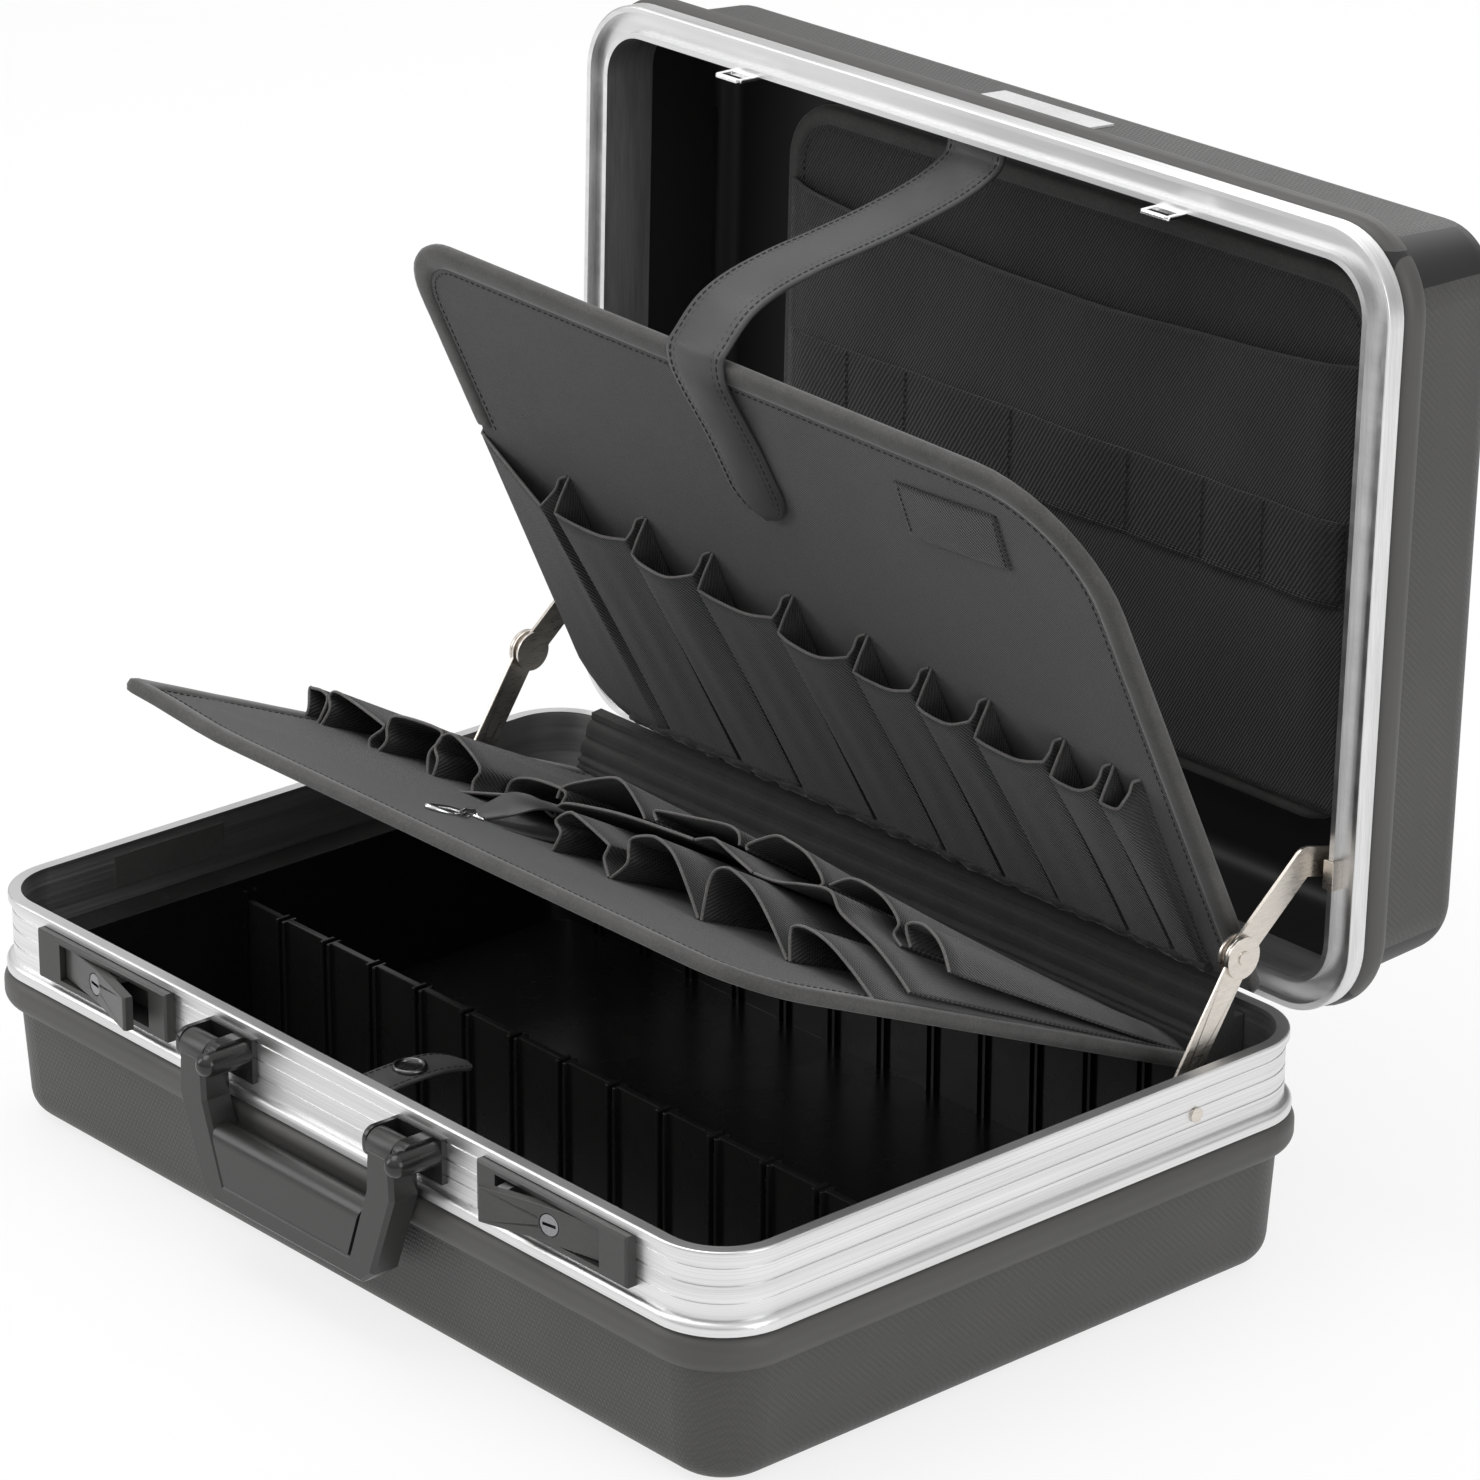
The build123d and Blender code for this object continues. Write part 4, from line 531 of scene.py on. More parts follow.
class Shape:
    """Points, faces and cloth coordinates gathered into one mesh."""

    def __init__(self):
        self.points, self.faces, self.cloth = [], [], []

    def grid(self, rows, cloth=None, wrap=False):
        start, wide = len(self.points), len(rows[0])
        for i, row in enumerate(rows):
            self.points += row
            self.cloth += cloth[i] if cloth else [(0.0, 0.0)] * wide
        for i in range(len(rows) - 1):
            for j in range(wide if wrap else wide - 1):
                a = start + i * wide + j
                b = start + i * wide + (j + 1) % wide
                self.faces.append((a, b, b + wide, a + wide))

    def cap(self, row, cloth=None):
        start = len(self.points)
        self.points += row
        self.cloth += cloth if cloth else [(0.0, 0.0)] * len(row)
        self.faces.append(tuple(range(start, start + len(row))))

    def tube(self, path, radius, sides=6, closed=False, ends=True):
        """A round cord along the points; radius is one value or one for each point."""
        count = len(path)
        radii = radius if hasattr(radius, "__len__") else [radius] * count
        side = None
        rings = []
        for i, point in enumerate(path):
            before = path[i - 1] if i or closed else path[0]
            after = path[(i + 1) % count] if i < count - 1 or closed else path[-1]
            along = (after - before).normalized()
            if side is None:
                side = along.orthogonal().normalized()
            side = (side - along * side.dot(along)).normalized()
            other = along.cross(side)
            ring = []
            for k in range(sides):
                a = 2 * math.pi * k / sides
                ring.append(point + (side * math.cos(a) + other * math.sin(a)) * radii[i])
            rings.append(ring)
        if closed:
            rings.append(list(rings[0]))
        self.grid(rings, None, True)
        if ends and not closed:
            self.cap(rings[0][::-1])
            self.cap(rings[-1])

    def build(self, name, look, smooth=True):
        mesh = bpy.data.meshes.new(name)
        mesh.from_pydata([tuple(p) for p in self.points], [], self.faces)
        layer = mesh.uv_layers.new(name="cloth")
        for loop in mesh.loops:
            layer.data[loop.index].uv = self.cloth[loop.vertex_index]
        joined = bmesh.new()
        joined.from_mesh(mesh)
        bmesh.ops.remove_doubles(joined, verts=joined.verts, dist=1e-7)
        bmesh.ops.recalc_face_normals(joined, faces=joined.faces)
        joined.to_mesh(mesh)
        joined.free()
        mesh.polygons.foreach_set("use_smooth", [smooth] * len(mesh.polygons))
        if smooth:
            mesh.set_sharp_from_angle(angle=math.radians(55))
        mesh.update()
        made = bpy.data.objects.new(name, mesh)
        bpy.context.scene.collection.objects.link(made)
        mesh.materials.append(look)
        return made


def thicken(piece, thickness, offset=0.0):
    """Gives a sheet its thickness, in mm, with the given side as its face."""
    made = piece.modifiers.new("thickness", "SOLIDIFY")
    made.thickness = thickness * MM
    made.offset = offset
    made.use_rim = True
    return piece


def rounded(piece, width, segments=2, angle=35.0):
    weld = piece.modifiers.new("weld", "WELD")
    weld.merge_threshold = 0.002 * MM
    edge = piece.modifiers.new("edges", "BEVEL")
    edge.width = width * MM
    edge.segments = segments
    edge.limit_method = "ANGLE"
    edge.angle_limit = math.radians(angle)
    edge.use_clamp_overlap = True
    edge.harden_normals = False
    return piece


def smooth_line(points, steps=5):
    """A soft curve through the points, by their neighbours' slopes."""
    line = []
    last = len(points) - 1
    for i in range(last):
        p0, p1, p2, p3 = (points[max(0, min(last, i + k))] for k in (-1, 0, 1, 2))
        for k in range(steps):
            t = k / steps
            line.append(tuple(
                0.5 * (
                    2 * b + (c - a) * t + (2 * a - 5 * b + 4 * c - d) * t * t
                    + (3 * b - a - 3 * c + d) * t ** 3
                )
                for a, b, c, d in zip(p0, p1, p2, p3)
            ))
    line.append(tuple(points[last]))
    return line


def resampled(path, pitch):
    """Points every pitch metres along a path of vectors, with the way it runs there."""
    found = []
    left = pitch / 2
    for a, b in zip(path, path[1:]):
        run = (b - a).length
        if run < 1e-9:
            continue
        along = (b - a) / run
        while left <= run:
            found.append((a + along * left, along))
            left += pitch
        left -= run
    return found


def stitches(shape, path, pitch=3.4, length=2.2, radius=0.32):
    """A row of short stitches along a path."""
    for point, along in resampled(path, pitch * MM):
        half = along * length * MM / 2
        thread = radius * MM
        ends = [point - half, point - half * 0.6, point + half * 0.6, point + half]
        shape.tube(ends, [thread * 0.35, thread, thread, thread * 0.35], 5)


def settle(body, slot, nodes, piece, *along):
    """Lets a piece stand for its CAD nodes, and puts it on its body with what goes along."""
    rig.replaces(piece, *nodes)
    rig.slot(piece, slot)
    for one in (piece, *along):
        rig.ride(one, body)


# Boards with their bound edges

def outline(board, inset, near_right=2.0, near_left=2.0, foot=0.0, turns=10):
    """Round a board's free sides as (x, s), from the right of its hinge to the left.

    foot is the radius of the lower left corner."""
    left, right, far = board.left - inset, board.right - inset, board.length - inset
    low, high = board.corner_right - inset, max(board.corner_left - inset, 0.5)
    points = [(right, near_right + (far - low - near_right) * i / 24) for i in range(24)]
    for i in range(turns + 1):
        a = math.pi / 2 * i / turns
        points.append((right - low + low * math.cos(a), far - low + low * math.sin(a)))
    for i in range(1, 24):
        points.append((right - low + (high - left - right + low) * i / 24, far))
    for i in range(turns + 1):
        a = math.pi / 2 * (1 + i / turns)
        points.append((high - left + high * math.cos(a), far - high + high * math.sin(a)))
    points += [(-left, far - high + (near_left + foot - far + high) * i / 24) for i in range(1, 25)]
    for i in range(1, turns + 1 if foot else 1):
        a = math.pi / 2 * (2 + i / turns)
        points.append((foot - left + foot * math.cos(a), near_left + foot + foot * math.sin(a)))
    return [(x, s - board.fall * x * s / board.length) for x, s in points]


BINDING_SECTION = (
    (10.2, -1.4), (9.6, -2.2), (6.8, -2.75), (2.6, -2.9), (0.7, -2.2), (0.0, 0.0),
    (0.7, 2.2), (2.6, 2.9), (6.8, 2.75), (9.6, 2.2), (10.2, 1.4),
)
LOWER_LEFT_ROUND = 32.0


def tool_board(board, name, body, bound_to, foot):
    """The stiff board under its cloth, the bound edge and the seam beside it."""
    panel = Shape()
    edge_ring = outline(board, 2.4, 0.5, 0.5, foot)
    middle_x, middle_s = 8.0, board.length * 0.45
    rings = [
        [(x + (middle_x - x) * inward, s + (middle_s - s) * inward) for x, s in edge_ring]
        for inward in (0.0, 0.12, 0.3, 0.5, 0.7, 0.88, 1.0)
    ]
    for side in (1, -1):
        rows = [[board.on(x, s, side * PANEL_FACE) for x, s in ring] for ring in rings]
        cloth = [[(x * MM, s * MM) for x, s in ring] for ring in rings]
        panel.grid(rows, cloth, True)
    edge = [[board.on(x, s, side * PANEL_FACE) for x, s in rings[0]] for side in (1, -1)]
    panel.grid(edge, [[(x * MM, s * MM) for x, s in rings[0]]] * 2, True)
    core = panel.build(name + "_panel", BOARD_CLOTH)
    bound = Shape()
    rows = []
    for inset, high in BINDING_SECTION:
        row = []
        for i, (x, s) in enumerate(outline(board, inset, 4.0, bound_to)):
            ripple = 0.12 * math.sin(i * 1.9) + 0.1 * math.sin(i * 0.73 + inset)
            row.append(board.on(x, s, high * (1 + 0.06 * ripple) + 0.12 * ripple))
        rows.append(row)
    bound.grid(rows)
    bound.cap([row[0] for row in rows])
    bound.cap([row[-1] for row in rows][::-1])
    tape = bound.build(name + "_bound_edge", BINDING)
    seam = Shape()
    for side in (1, -1):
        path = [board.on(x, s, side * (PANEL_FACE + 0.15)) for x, s in outline(board, 12.2, 6.0, bound_to)]
        stitches(seam, path)
    thread = seam.build(name + "_seam", THREAD)
    settle(body, "board_fabric", [name], core, thread)
    settle(body, "binding_tape", [name + "_binding"], tape)


# Bellows pockets

UPPER_SEAMS = (-181.0, -131.0, -86.0, -48.0, -3.0, 38.0, 72.0, 103.0, 142.0, 167.0, 182.0)
UPPER_BOWS = (0.0, 0.3, 2.8, 0.4, 2.2, 0.2, 1.6, 0.8, 0.6, 0.2)   # swell of each pocket's front
UPPER_MOUTH = (156.0, 104.5)     # reach of the mouths at the left and right ends
UPPER_LIP_DROP = 9.5             # the front of a mouth lies this much nearer the hinge
UPPER_DEPTH = 12.3
POCKET_FOOT = 6.0
ROWS = 16


def pocket_sheet(cloth, lips, board, lip, mouth, foot, foot_rise, sag=0.0):
    """One pocket: a sheet from its foot to its lip, given as (x, n, drop) round the mouth.

    mouth is the reach of the lip from the hinge, drop how far a lip point falls short of
    it, foot_rise the height of the cloth at the foot."""
    rows, marks = [], []
    floor = min(point[1] for point in lip)
    top = max(point[1] for point in lip)
    run = [0.0]
    for a, b in zip(lip, lip[1:]):
        run.append(run[-1] + math.dist(a[:2], b[:2]))
    for i in range(ROWS + 1):
        share = i / ROWS
        row, mark = [], []
        for (x, n, drop), far in zip(lip, run):
            reach = (mouth(x) if callable(mouth) else mouth) - drop
            start = foot(x) if callable(foot) else foot
            s = start + (reach - start) * share
            raised = (n - floor) / max(top - floor, 1e-6)
            low = PANEL_FACE + 0.3 + foot_rise * (0.15 + 0.85 * raised)
            blend = share ** 1.08
            high = low + (n - low) * blend
            high -= sag * raised * math.sin(math.pi * share) * (0.6 + 0.4 * math.sin(far * 0.31 + x * 0.07))
            row.append(board.at(x, s, high))
            mark.append((far * MM + x * 0.01 * MM, s * MM))
        rows.append(row)
        marks.append(mark)
    cloth.grid(rows, marks)
    lips.tube(rows[-1], LIP_RADIUS * MM, 6)


def upper_mouth(x):
    share = (x - UPPER_SEAMS[0]) / (UPPER_SEAMS[-1] - UPPER_SEAMS[0])
    return UPPER_MOUTH[0] + share * (UPPER_MOUTH[1] - UPPER_MOUTH[0])


def upper_foot(x):
    """The feet of the first pockets follow the board's round lower corner."""
    inside = min(LOWER_LEFT_ROUND, max(0.0, x + UPPER.left))
    rise = math.sqrt(LOWER_LEFT_ROUND ** 2 - (LOWER_LEFT_ROUND - inside) ** 2)
    return POCKET_FOOT + LOWER_LEFT_ROUND - rise


def upper_lip(number, left, right):
    """Mouth of an upper pocket: a narrow pleat, its front and a narrow pleat back."""
    width = right - left
    deep = UPPER_DEPTH * (0.86 + 0.14 * min(width / 40.0, 1.0))
    face = PANEL_FACE + 0.3
    bow = UPPER_BOWS[number]
    if number:
        pleat = [
            (left + 0.7, face, 0.0),
            (left + 2.0, face + 0.28 * deep, 0.6),
            (left + 1.7, face + 0.6 * deep, 3.6),
            (left + 0.2, face + deep, UPPER_LIP_DROP),
        ]
        front = [
            (left + 0.2, face + deep, UPPER_LIP_DROP),
            (left + 0.2 * width, face + deep + 0.7 * bow, UPPER_LIP_DROP + 0.3),
            (left + 0.6 * width, face + 0.97 * deep + bow, UPPER_LIP_DROP - 1.0),
            (right - 3.0, face + 0.84 * deep, 4.8),
        ]
    else:
        pleat = [(left - 2.0, face - 2.0, 0.0), (left - 1.4, face, 0.6)]
        front = [
            (left - 1.4, face, 0.6),
            (left + 0.45 * width, face + 0.56 * deep, 5.4),
            (right - 8.0, face + deep, UPPER_LIP_DROP),
        ]
    turn = [
        front[-1],
        (right - 2.6, face + 0.5 * deep, 3.0),
        (right - 2.9, face + 0.2 * deep, 0.7),
        (right - 0.7, face, 0.0),
    ]
    return smooth_line(pleat, 4)[:-1] + smooth_line(front, 6)[:-1] + smooth_line(turn, 4)


def cloth_row(name, cloth, lips, body, board, flat, area, nodes, keep):
    """Finishes a row of pockets: its thickness, bound lips, declared sheet and fold."""
    piece = thicken(cloth.build(name, POCKET_CLOTH), CLOTH)
    tape = lips.build(name + "_lips", LIP_TAPE)
    settle(body, "pocket_fabric", nodes, piece, tape)
    for one in (piece, tape):
        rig.squash(one, board.joint, axis=board.up, anchor=board.at(0, 0, PANEL_FACE), keep=keep)
    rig.sheet(piece, flat=flat, held="gathered", area=area, rests_on=[nodes[0]], with_pieces=[tape])
    return piece


def upper_pockets():
    cloth, lips = Shape(), Shape()
    for number, (left, right) in enumerate(zip(UPPER_SEAMS, UPPER_SEAMS[1:])):
        pocket_sheet(cloth, lips, UPPER, upper_lip(number, left, right), upper_mouth, upper_foot, 2.6, 0.8)
    cloth_row(
        "upper_pocket_row", cloth, lips, "upper_board", UPPER,
        (0.56, 0.125), 0.062, ["upper_board_pockets"], 0.75,
    )


# Lips of the lower board's pockets as (x, n), seen from the free edge, left to right
LEFT_MOUTH, BACK_MOUTH, MIDDLE_MOUTH, FRONT_MOUTH = 165.0, 150.0, 168.0, 187.0
FRONT_LIPS = (
    (
        (1.7, 2.2), (3.2, 9.7), (-0.9, 12.7), (-0.7, 14.9), (4.2, 18.6), (10.0, 18.4), (28.5, 14.1),
        (30.4, 12.4), (29.9, 8.0), (35.2, 2.2),
    ),
    (
        (36.4, 2.2), (42.4, 9.7), (41.0, 15.0), (40.8, 19.5), (49.5, 23.2), (56.0, 23.4), (65.2, 20.3),
        (77.5, 10.8), (87.2, 2.2),
    ),
    (
        (89.0, 2.2), (86.8, 15.0), (88.0, 21.5), (93.5, 24.4), (100.0, 23.8), (110.7, 20.4),
        (123.4, 12.5), (137.2, 2.2),
    ),
    (
        (138.8, 2.2), (134.8, 11.5), (135.6, 15.0), (143.2, 16.3), (155.1, 14.4), (169.8, 9.0),
        (184.5, 2.2),
    ),
)
MIDDLE_LIPS = (
    ((-87.0, 2.2), (-57.3, 9.9), (-44.6, 13.2), (-36.7, 14.2), (-30.2, 12.8), (-22.4, 11.1)),
    ((-22.0, 11.4), (-20.6, 17.2), (-3.9, 20.8), (17.7, 23.6), (53.7, 25.9)),
    ((54.5, 26.0), (61.4, 28.8), (66.0, 29.1), (75.3, 26.8), (88.5, 23.6)),
    (
        (89.5, 23.6), (102.2, 24.3), (115.5, 27.4), (129.4, 29.4), (138.4, 23.4), (158.0, 18.2),
        (172.0, 12.5), (183.0, 7.0),
    ),
)
LEFT_LIPS = (
    (
        (-183.2, 2.2), (-181.0, 8.5), (-184.0, 16.6), (-182.0, 17.6), (-175.7, 18.0), (-171.5, 15.0),
        (-173.6, 2.2),
    ),
    (
        (-171.9, 2.2), (-168.5, 12.0), (-171.1, 17.6), (-165.4, 20.2), (-139.2, 16.6), (-134.6, 14.6),
        (-140.2, 8.0), (-137.0, 2.2),
    ),
    (
        (-135.8, 2.2), (-130.6, 9.9), (-132.6, 16.1), (-128.7, 21.5), (-104.0, 23.6), (-100.6, 20.0),
        (-104.4, 12.5), (-100.2, 2.2),
    ),
    (
        (-98.6, 2.2), (-98.4, 11.5), (-102.0, 16.2), (-99.6, 22.0), (-92.3, 23.7), (-74.2, 16.6),
        (-75.0, 9.7), (-72.4, 2.2),
    ),
)
BACK_LIPS = (
    ((-70.9, 6.0), (-70.0, 14.0), (-60.0, 18.2), (-44.0, 19.6), (-38.5, 18.4), (-39.0, 14.5)),
    (
        (-42.4, 15.5), (-41.0, 20.5), (-31.4, 25.8), (-17.5, 31.6), (-10.6, 32.2), (-3.1, 29.1),
        (4.8, 24.5), (7.5, 22.2),
    ),
    ((14.0, 23.6), (11.2, 26.4), (15.0, 27.9), (31.1, 30.4), (50.0, 33.3), (57.8, 32.4), (60.4, 28.2)),
    (
        (65.2, 27.6), (64.8, 30.0), (76.4, 37.0), (84.0, 37.4), (95.0, 35.9), (104.0, 31.6),
        (108.0, 28.2), (107.0, 26.4),
    ),
    (
        (111.6, 28.4), (120.5, 33.8), (131.0, 34.3), (141.7, 31.9), (150.8, 26.4), (150.4, 21.4),
        (155.8, 18.4),
    ),
    ((160.4, 19.6), (155.0, 26.4), (161.9, 29.2), (170.0, 27.4), (176.5, 23.4), (182.5, 17.0)),
)


def lower_pockets():
    front = ("lower_front_pocket_row", FRONT_LIPS, FRONT_MOUTH, 1.2)
    middle = ("lower_middle_pocket_row", MIDDLE_LIPS, MIDDLE_MOUTH, 2.6)
    sets = (
        (*front, ["lower_board_front_pockets"], (0.34, 0.178), 0.042),
        (*middle, ["lower_board_wide_pocket"], (0.31, 0.16), 0.047),
    )
    for name, row, mouth, rise, nodes, flat, area in sets:
        cloth, lips = Shape(), Shape()
        for lip in row:
            line = [(x, n, 0.0) for x, n in smooth_line(lip, 5)]
            pocket_sheet(cloth, lips, LOWER, line, mouth, POCKET_FOOT, rise, 0.5)
        cloth_row(name, cloth, lips, "lower_board", LOWER, flat, area, nodes, 0.42)
    cloth, lips = Shape(), Shape()
    for row, mouth, rise in ((LEFT_LIPS, LEFT_MOUTH, 2.6), (BACK_LIPS, BACK_MOUTH, 4.4)):
        for lip in row:
            line = [(x, n, 0.0) for x, n in smooth_line(lip, 5)]
            pocket_sheet(cloth, lips, LOWER, line, mouth, POCKET_FOOT, rise, 0.5)
    cloth_row(
        "lower_back_pocket_row", cloth, lips, "lower_board", LOWER,
        (0.56, 0.15), 0.068, ["lower_board_back_pockets"], 0.42,
    )


PATCH = (96.5, 152.0, 198.0, 225.0)   # left, right, and its reach from the hinge


def board_patch():
    """A small cloth loop sewn on at its two ends, with slanted sides."""
    shape, thread = Shape(), Shape()
    left, right, near, far = PATCH
    rows, marks = [], []
    for i in range(25):
        u = i / 24
        row, mark = [], []
        for k in range(13):
            v = k / 12
            x = left + (right - left) * u + (v - 0.5) * 2.5
            s = near + (far - near) * v + (u - 0.5) * 1.5
            high = PANEL_FACE + 0.5 + 1.5 * math.sin(math.pi * u) * (1 - 0.5 * (2 * v - 1) ** 4)
            row.append(UPPER.at(x, s, high))
            mark.append((x * MM, s * MM))
        rows.append(row)
        marks.append(mark)
    shape.grid(rows, marks)
    piece = thicken(shape.build("board_patch", POCKET_CLOTH), CLOTH)
    for u in (left + 2.0, right - 2.0):
        path = []
        for k in range(11):
            x = u + (k / 10 - 0.5) * 2.5
            path.append(UPPER.at(x, near + 1.5 + (far - near - 3) * k / 10, PANEL_FACE + 1.3))
        stitches(thread, path, 2.6, 1.9, 0.3)
    seam = thread.build("board_patch_seams", THREAD)
    settle("upper_board", "pocket_fabric", ["upper_board_patch"], piece, seam)
    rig.sheet(piece, flat=(0.056, 0.027), held="stretched", rests_on=["upper_board"], with_pieces=[seam])


def pocket_feet():
    """The gathered edge under the upper pockets' feet: a crumpled roll of cloth."""
    roll = Shape()
    path, radii = [], []
    for i in range(150):
        x = -158.0 + 340.0 * i / 149
        path.append(UPPER.at(x, 8.6 + 0.6 * math.sin(i * 1.3), 4.0 + 0.5 * math.sin(i * 0.9)))
        radii.append((2.2 + random.uniform(-0.45, 0.45)) * MM)
    roll.tube(path, radii, 10)
    piece = roll.build("pocket_foot_roll", SPINE_CLOTH)
    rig.ride(piece, "upper_board")
    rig.squash(piece, UPPER.joint, axis=UPPER.up, anchor=UPPER.at(0, 0, PANEL_FACE), keep=0.3)
    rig.padded(piece, fill=0.3)


# Spine between the boards

SPINE_RISE, SPINE_DROP, SPINE_HALF = 8.5, 24.7, 189.0
SPINE_CHANNELS, CHANNEL_DEPTH = (0.34, 0.44, 0.66, 0.9), 1.5


def spine_pad():
    """Padded cloth with lengthwise channels, from the lower board's hinge to the upper's."""
    top, bottom, half = RIM_TOP + SPINE_RISE, RIM_TOP - SPINE_DROP, SPINE_HALF
    front = [
        (129.8, bottom), (129.8, RIM_TOP - 14.5), (131.6, RIM_TOP - 8.0),
        (134.6, RIM_TOP - 1.0), (138.2, top - 0.6),
    ]
    line = smooth_line(front, 12)
    run = [0.0]
    for a, b in zip(line, line[1:]):
        run.append(run[-1] + math.dist(a, b))
    section = []
    for (y, z), far in zip(line, run):
        share = far / run[-1]
        groove = max(math.exp(-((share - c) / 0.022) ** 2) for c in SPINE_CHANNELS)
        puff = 0.7 * abs(math.sin(math.pi * share * 4.2))
        section.append((y - puff + CHANNEL_DEPTH * groove, z + 0.35 * puff))
    back = [(143.2, top), (143.2, LIP_Z - 2.4), (148.6, LIP_Z - 2.4), (148.6, bottom)]
    shape = Shape()
    rows, marks = [], []
    count = 96
    for i in range(count + 1):
        x = -half + 2 * half * i / count
        wave = 0.3 * math.sin(x * 0.21) + 0.22 * math.sin(x * 0.47 + 1.0)
        ring = []
        for k, (y, z) in enumerate(section):
            ring.append(place(x, y - 0.5 * wave * (0.3 + 0.7 * k / len(section)), z))
        ring += [place(x, y, z) for y, z in back]
        rows.append(ring)
        marks.append([(x * MM, k * MM) for k in range(len(ring))])
    shape.grid(rows, marks, True)
    shape.cap(rows[0][::-1])
    shape.cap(rows[-1])
    piece = shape.build("spine_pad", SPINE_CLOTH)
    settle("base", "board_fabric", ["board_spine"], piece)
    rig.padded(piece, fill=0.5)


# Lid panel, its large pocket and the elastic band

PANEL_HALF, PANEL_NEAR, PANEL_FAR, PANEL_ROUND = 170.0, -117.0, 111.0, 28.0
PANEL_FRONT = LIP_Z + 61.5
PANEL_EDGE_SECTION = (
    (0.6, 6.2), (0.0, 3.0), (0.5, 0.9), (2.0, -0.4), (5.0, -0.9), (7.2, -0.5), (8.2, 0.4),
)


def panel_outline(inset, turns=8):
    hx, corner = PANEL_HALF - inset, PANEL_ROUND - inset
    near, far = PANEL_NEAR + inset, PANEL_FAR - inset
    points = []
    for cx, cy, start in ((hx, far, 0), (-hx, far, 90), (-hx, near, 180), (hx, near, 270)):
        mx = cx - math.copysign(corner, cx)
        my = cy - corner if cy == far else cy + corner
        for i in range(turns + 1):
            a = math.radians(start + 90 * i / turns)
            points.append((mx + corner * math.cos(a), my + corner * math.sin(a)))
    return points


def lid_panel():
    shape = Shape()
    rings = []
    for inset, high in PANEL_EDGE_SECTION:
        rings.append([lid_place(x, y, PANEL_FRONT + high) for x, y in panel_outline(inset)])
    shape.grid(rings, [[(x * MM, y * MM) for x, y in panel_outline(4)]] * len(rings), True)
    rim = shape.build("lid_panel_edge", BINDING)
    middle = Shape()
    edge = panel_outline(8.0)[::-1]
    middle.cap([lid_place(x, y, PANEL_FRONT + 0.3) for x, y in edge], [(x * MM, y * MM) for x, y in edge])
    back = panel_outline(0.6)
    middle.cap([lid_place(x, y, PANEL_FRONT + 6.2) for x, y in back], [(x * MM, y * MM) for x, y in back])
    core = middle.build("lid_panel_cloth", LINING_CLOTH, False)
    thread = Shape()
    path = panel_outline(10.5)
    stitches(thread, [lid_place(x, y, PANEL_FRONT + 0.1) for x, y in path + path[:1]], 3.4, 2.2, 0.3)
    seam = thread.build("lid_panel_seam", THREAD)
    settle("lid", "board_fabric", ["document_panel"], core, rim, seam)


DOC_FAR, DOC_SIDE = 104.0, 164.0
BAND_LOW, BAND_HIGH = 17.0, -18.0
BAND_SEAMS = (-121.0, -86.0, -23.0, 45.0, 87.0, 120.0)


def doc_mouth(x):
    """The mouth of the lid's pocket sags between its ends, in shut y."""
    return -82.0 + 9.0 * math.cos(math.pi * x / (2 * DOC_SIDE)) ** 0.8


def doc_height(x, y):
    """How far the pocket's cloth stands off the panel."""
    share = (y - DOC_FAR) / (doc_mouth(x) - DOC_FAR)
    swell = 2.0 + 3.4 * share + 1.1 * math.sin(math.pi * min(1.0, 1.1 * share))
    ripple = 0.8 * math.sin(x * 0.045 + 0.8) * share ** 1.5 + 0.5 * math.sin(x * 0.083 + y * 0.02) * share
    ends = min(1.0, (DOC_SIDE - abs(x)) / 14.0)
    return 0.7 + (swell + ripple) * (0.25 + 0.75 * ends) * min(1.0, 0.35 + share * 3)


def lid_pocket():
    shape, lips = Shape(), Shape()
    rows, marks = [], []
    for i in range(41):
        share = i / 40
        row, mark = [], []
        for k in range(83):
            x = -DOC_SIDE + 2 * DOC_SIDE * k / 82
            y = DOC_FAR + (doc_mouth(x) - DOC_FAR) * share
            row.append(lid_place(x, y, PANEL_FRONT - doc_height(x, y)))
            mark.append((x * MM, y * MM))
        rows.append(row)
        marks.append(mark)
    shape.grid(rows, marks)
    piece = thicken(shape.build("lid_pocket", LINING_CLOTH), CLOTH)
    lips.tube(rows[-1], 0.7 * MM, 6)
    tape = lips.build("lid_pocket_lip", LIP_DARK)
    settle("lid", "pocket_fabric", ["document_pocket"], piece, tape)
    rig.sheet(
        piece, flat=(0.33, 0.19), held="stretched", rests_on=["document_panel"], area=0.058,
        with_pieces=[tape],
    )


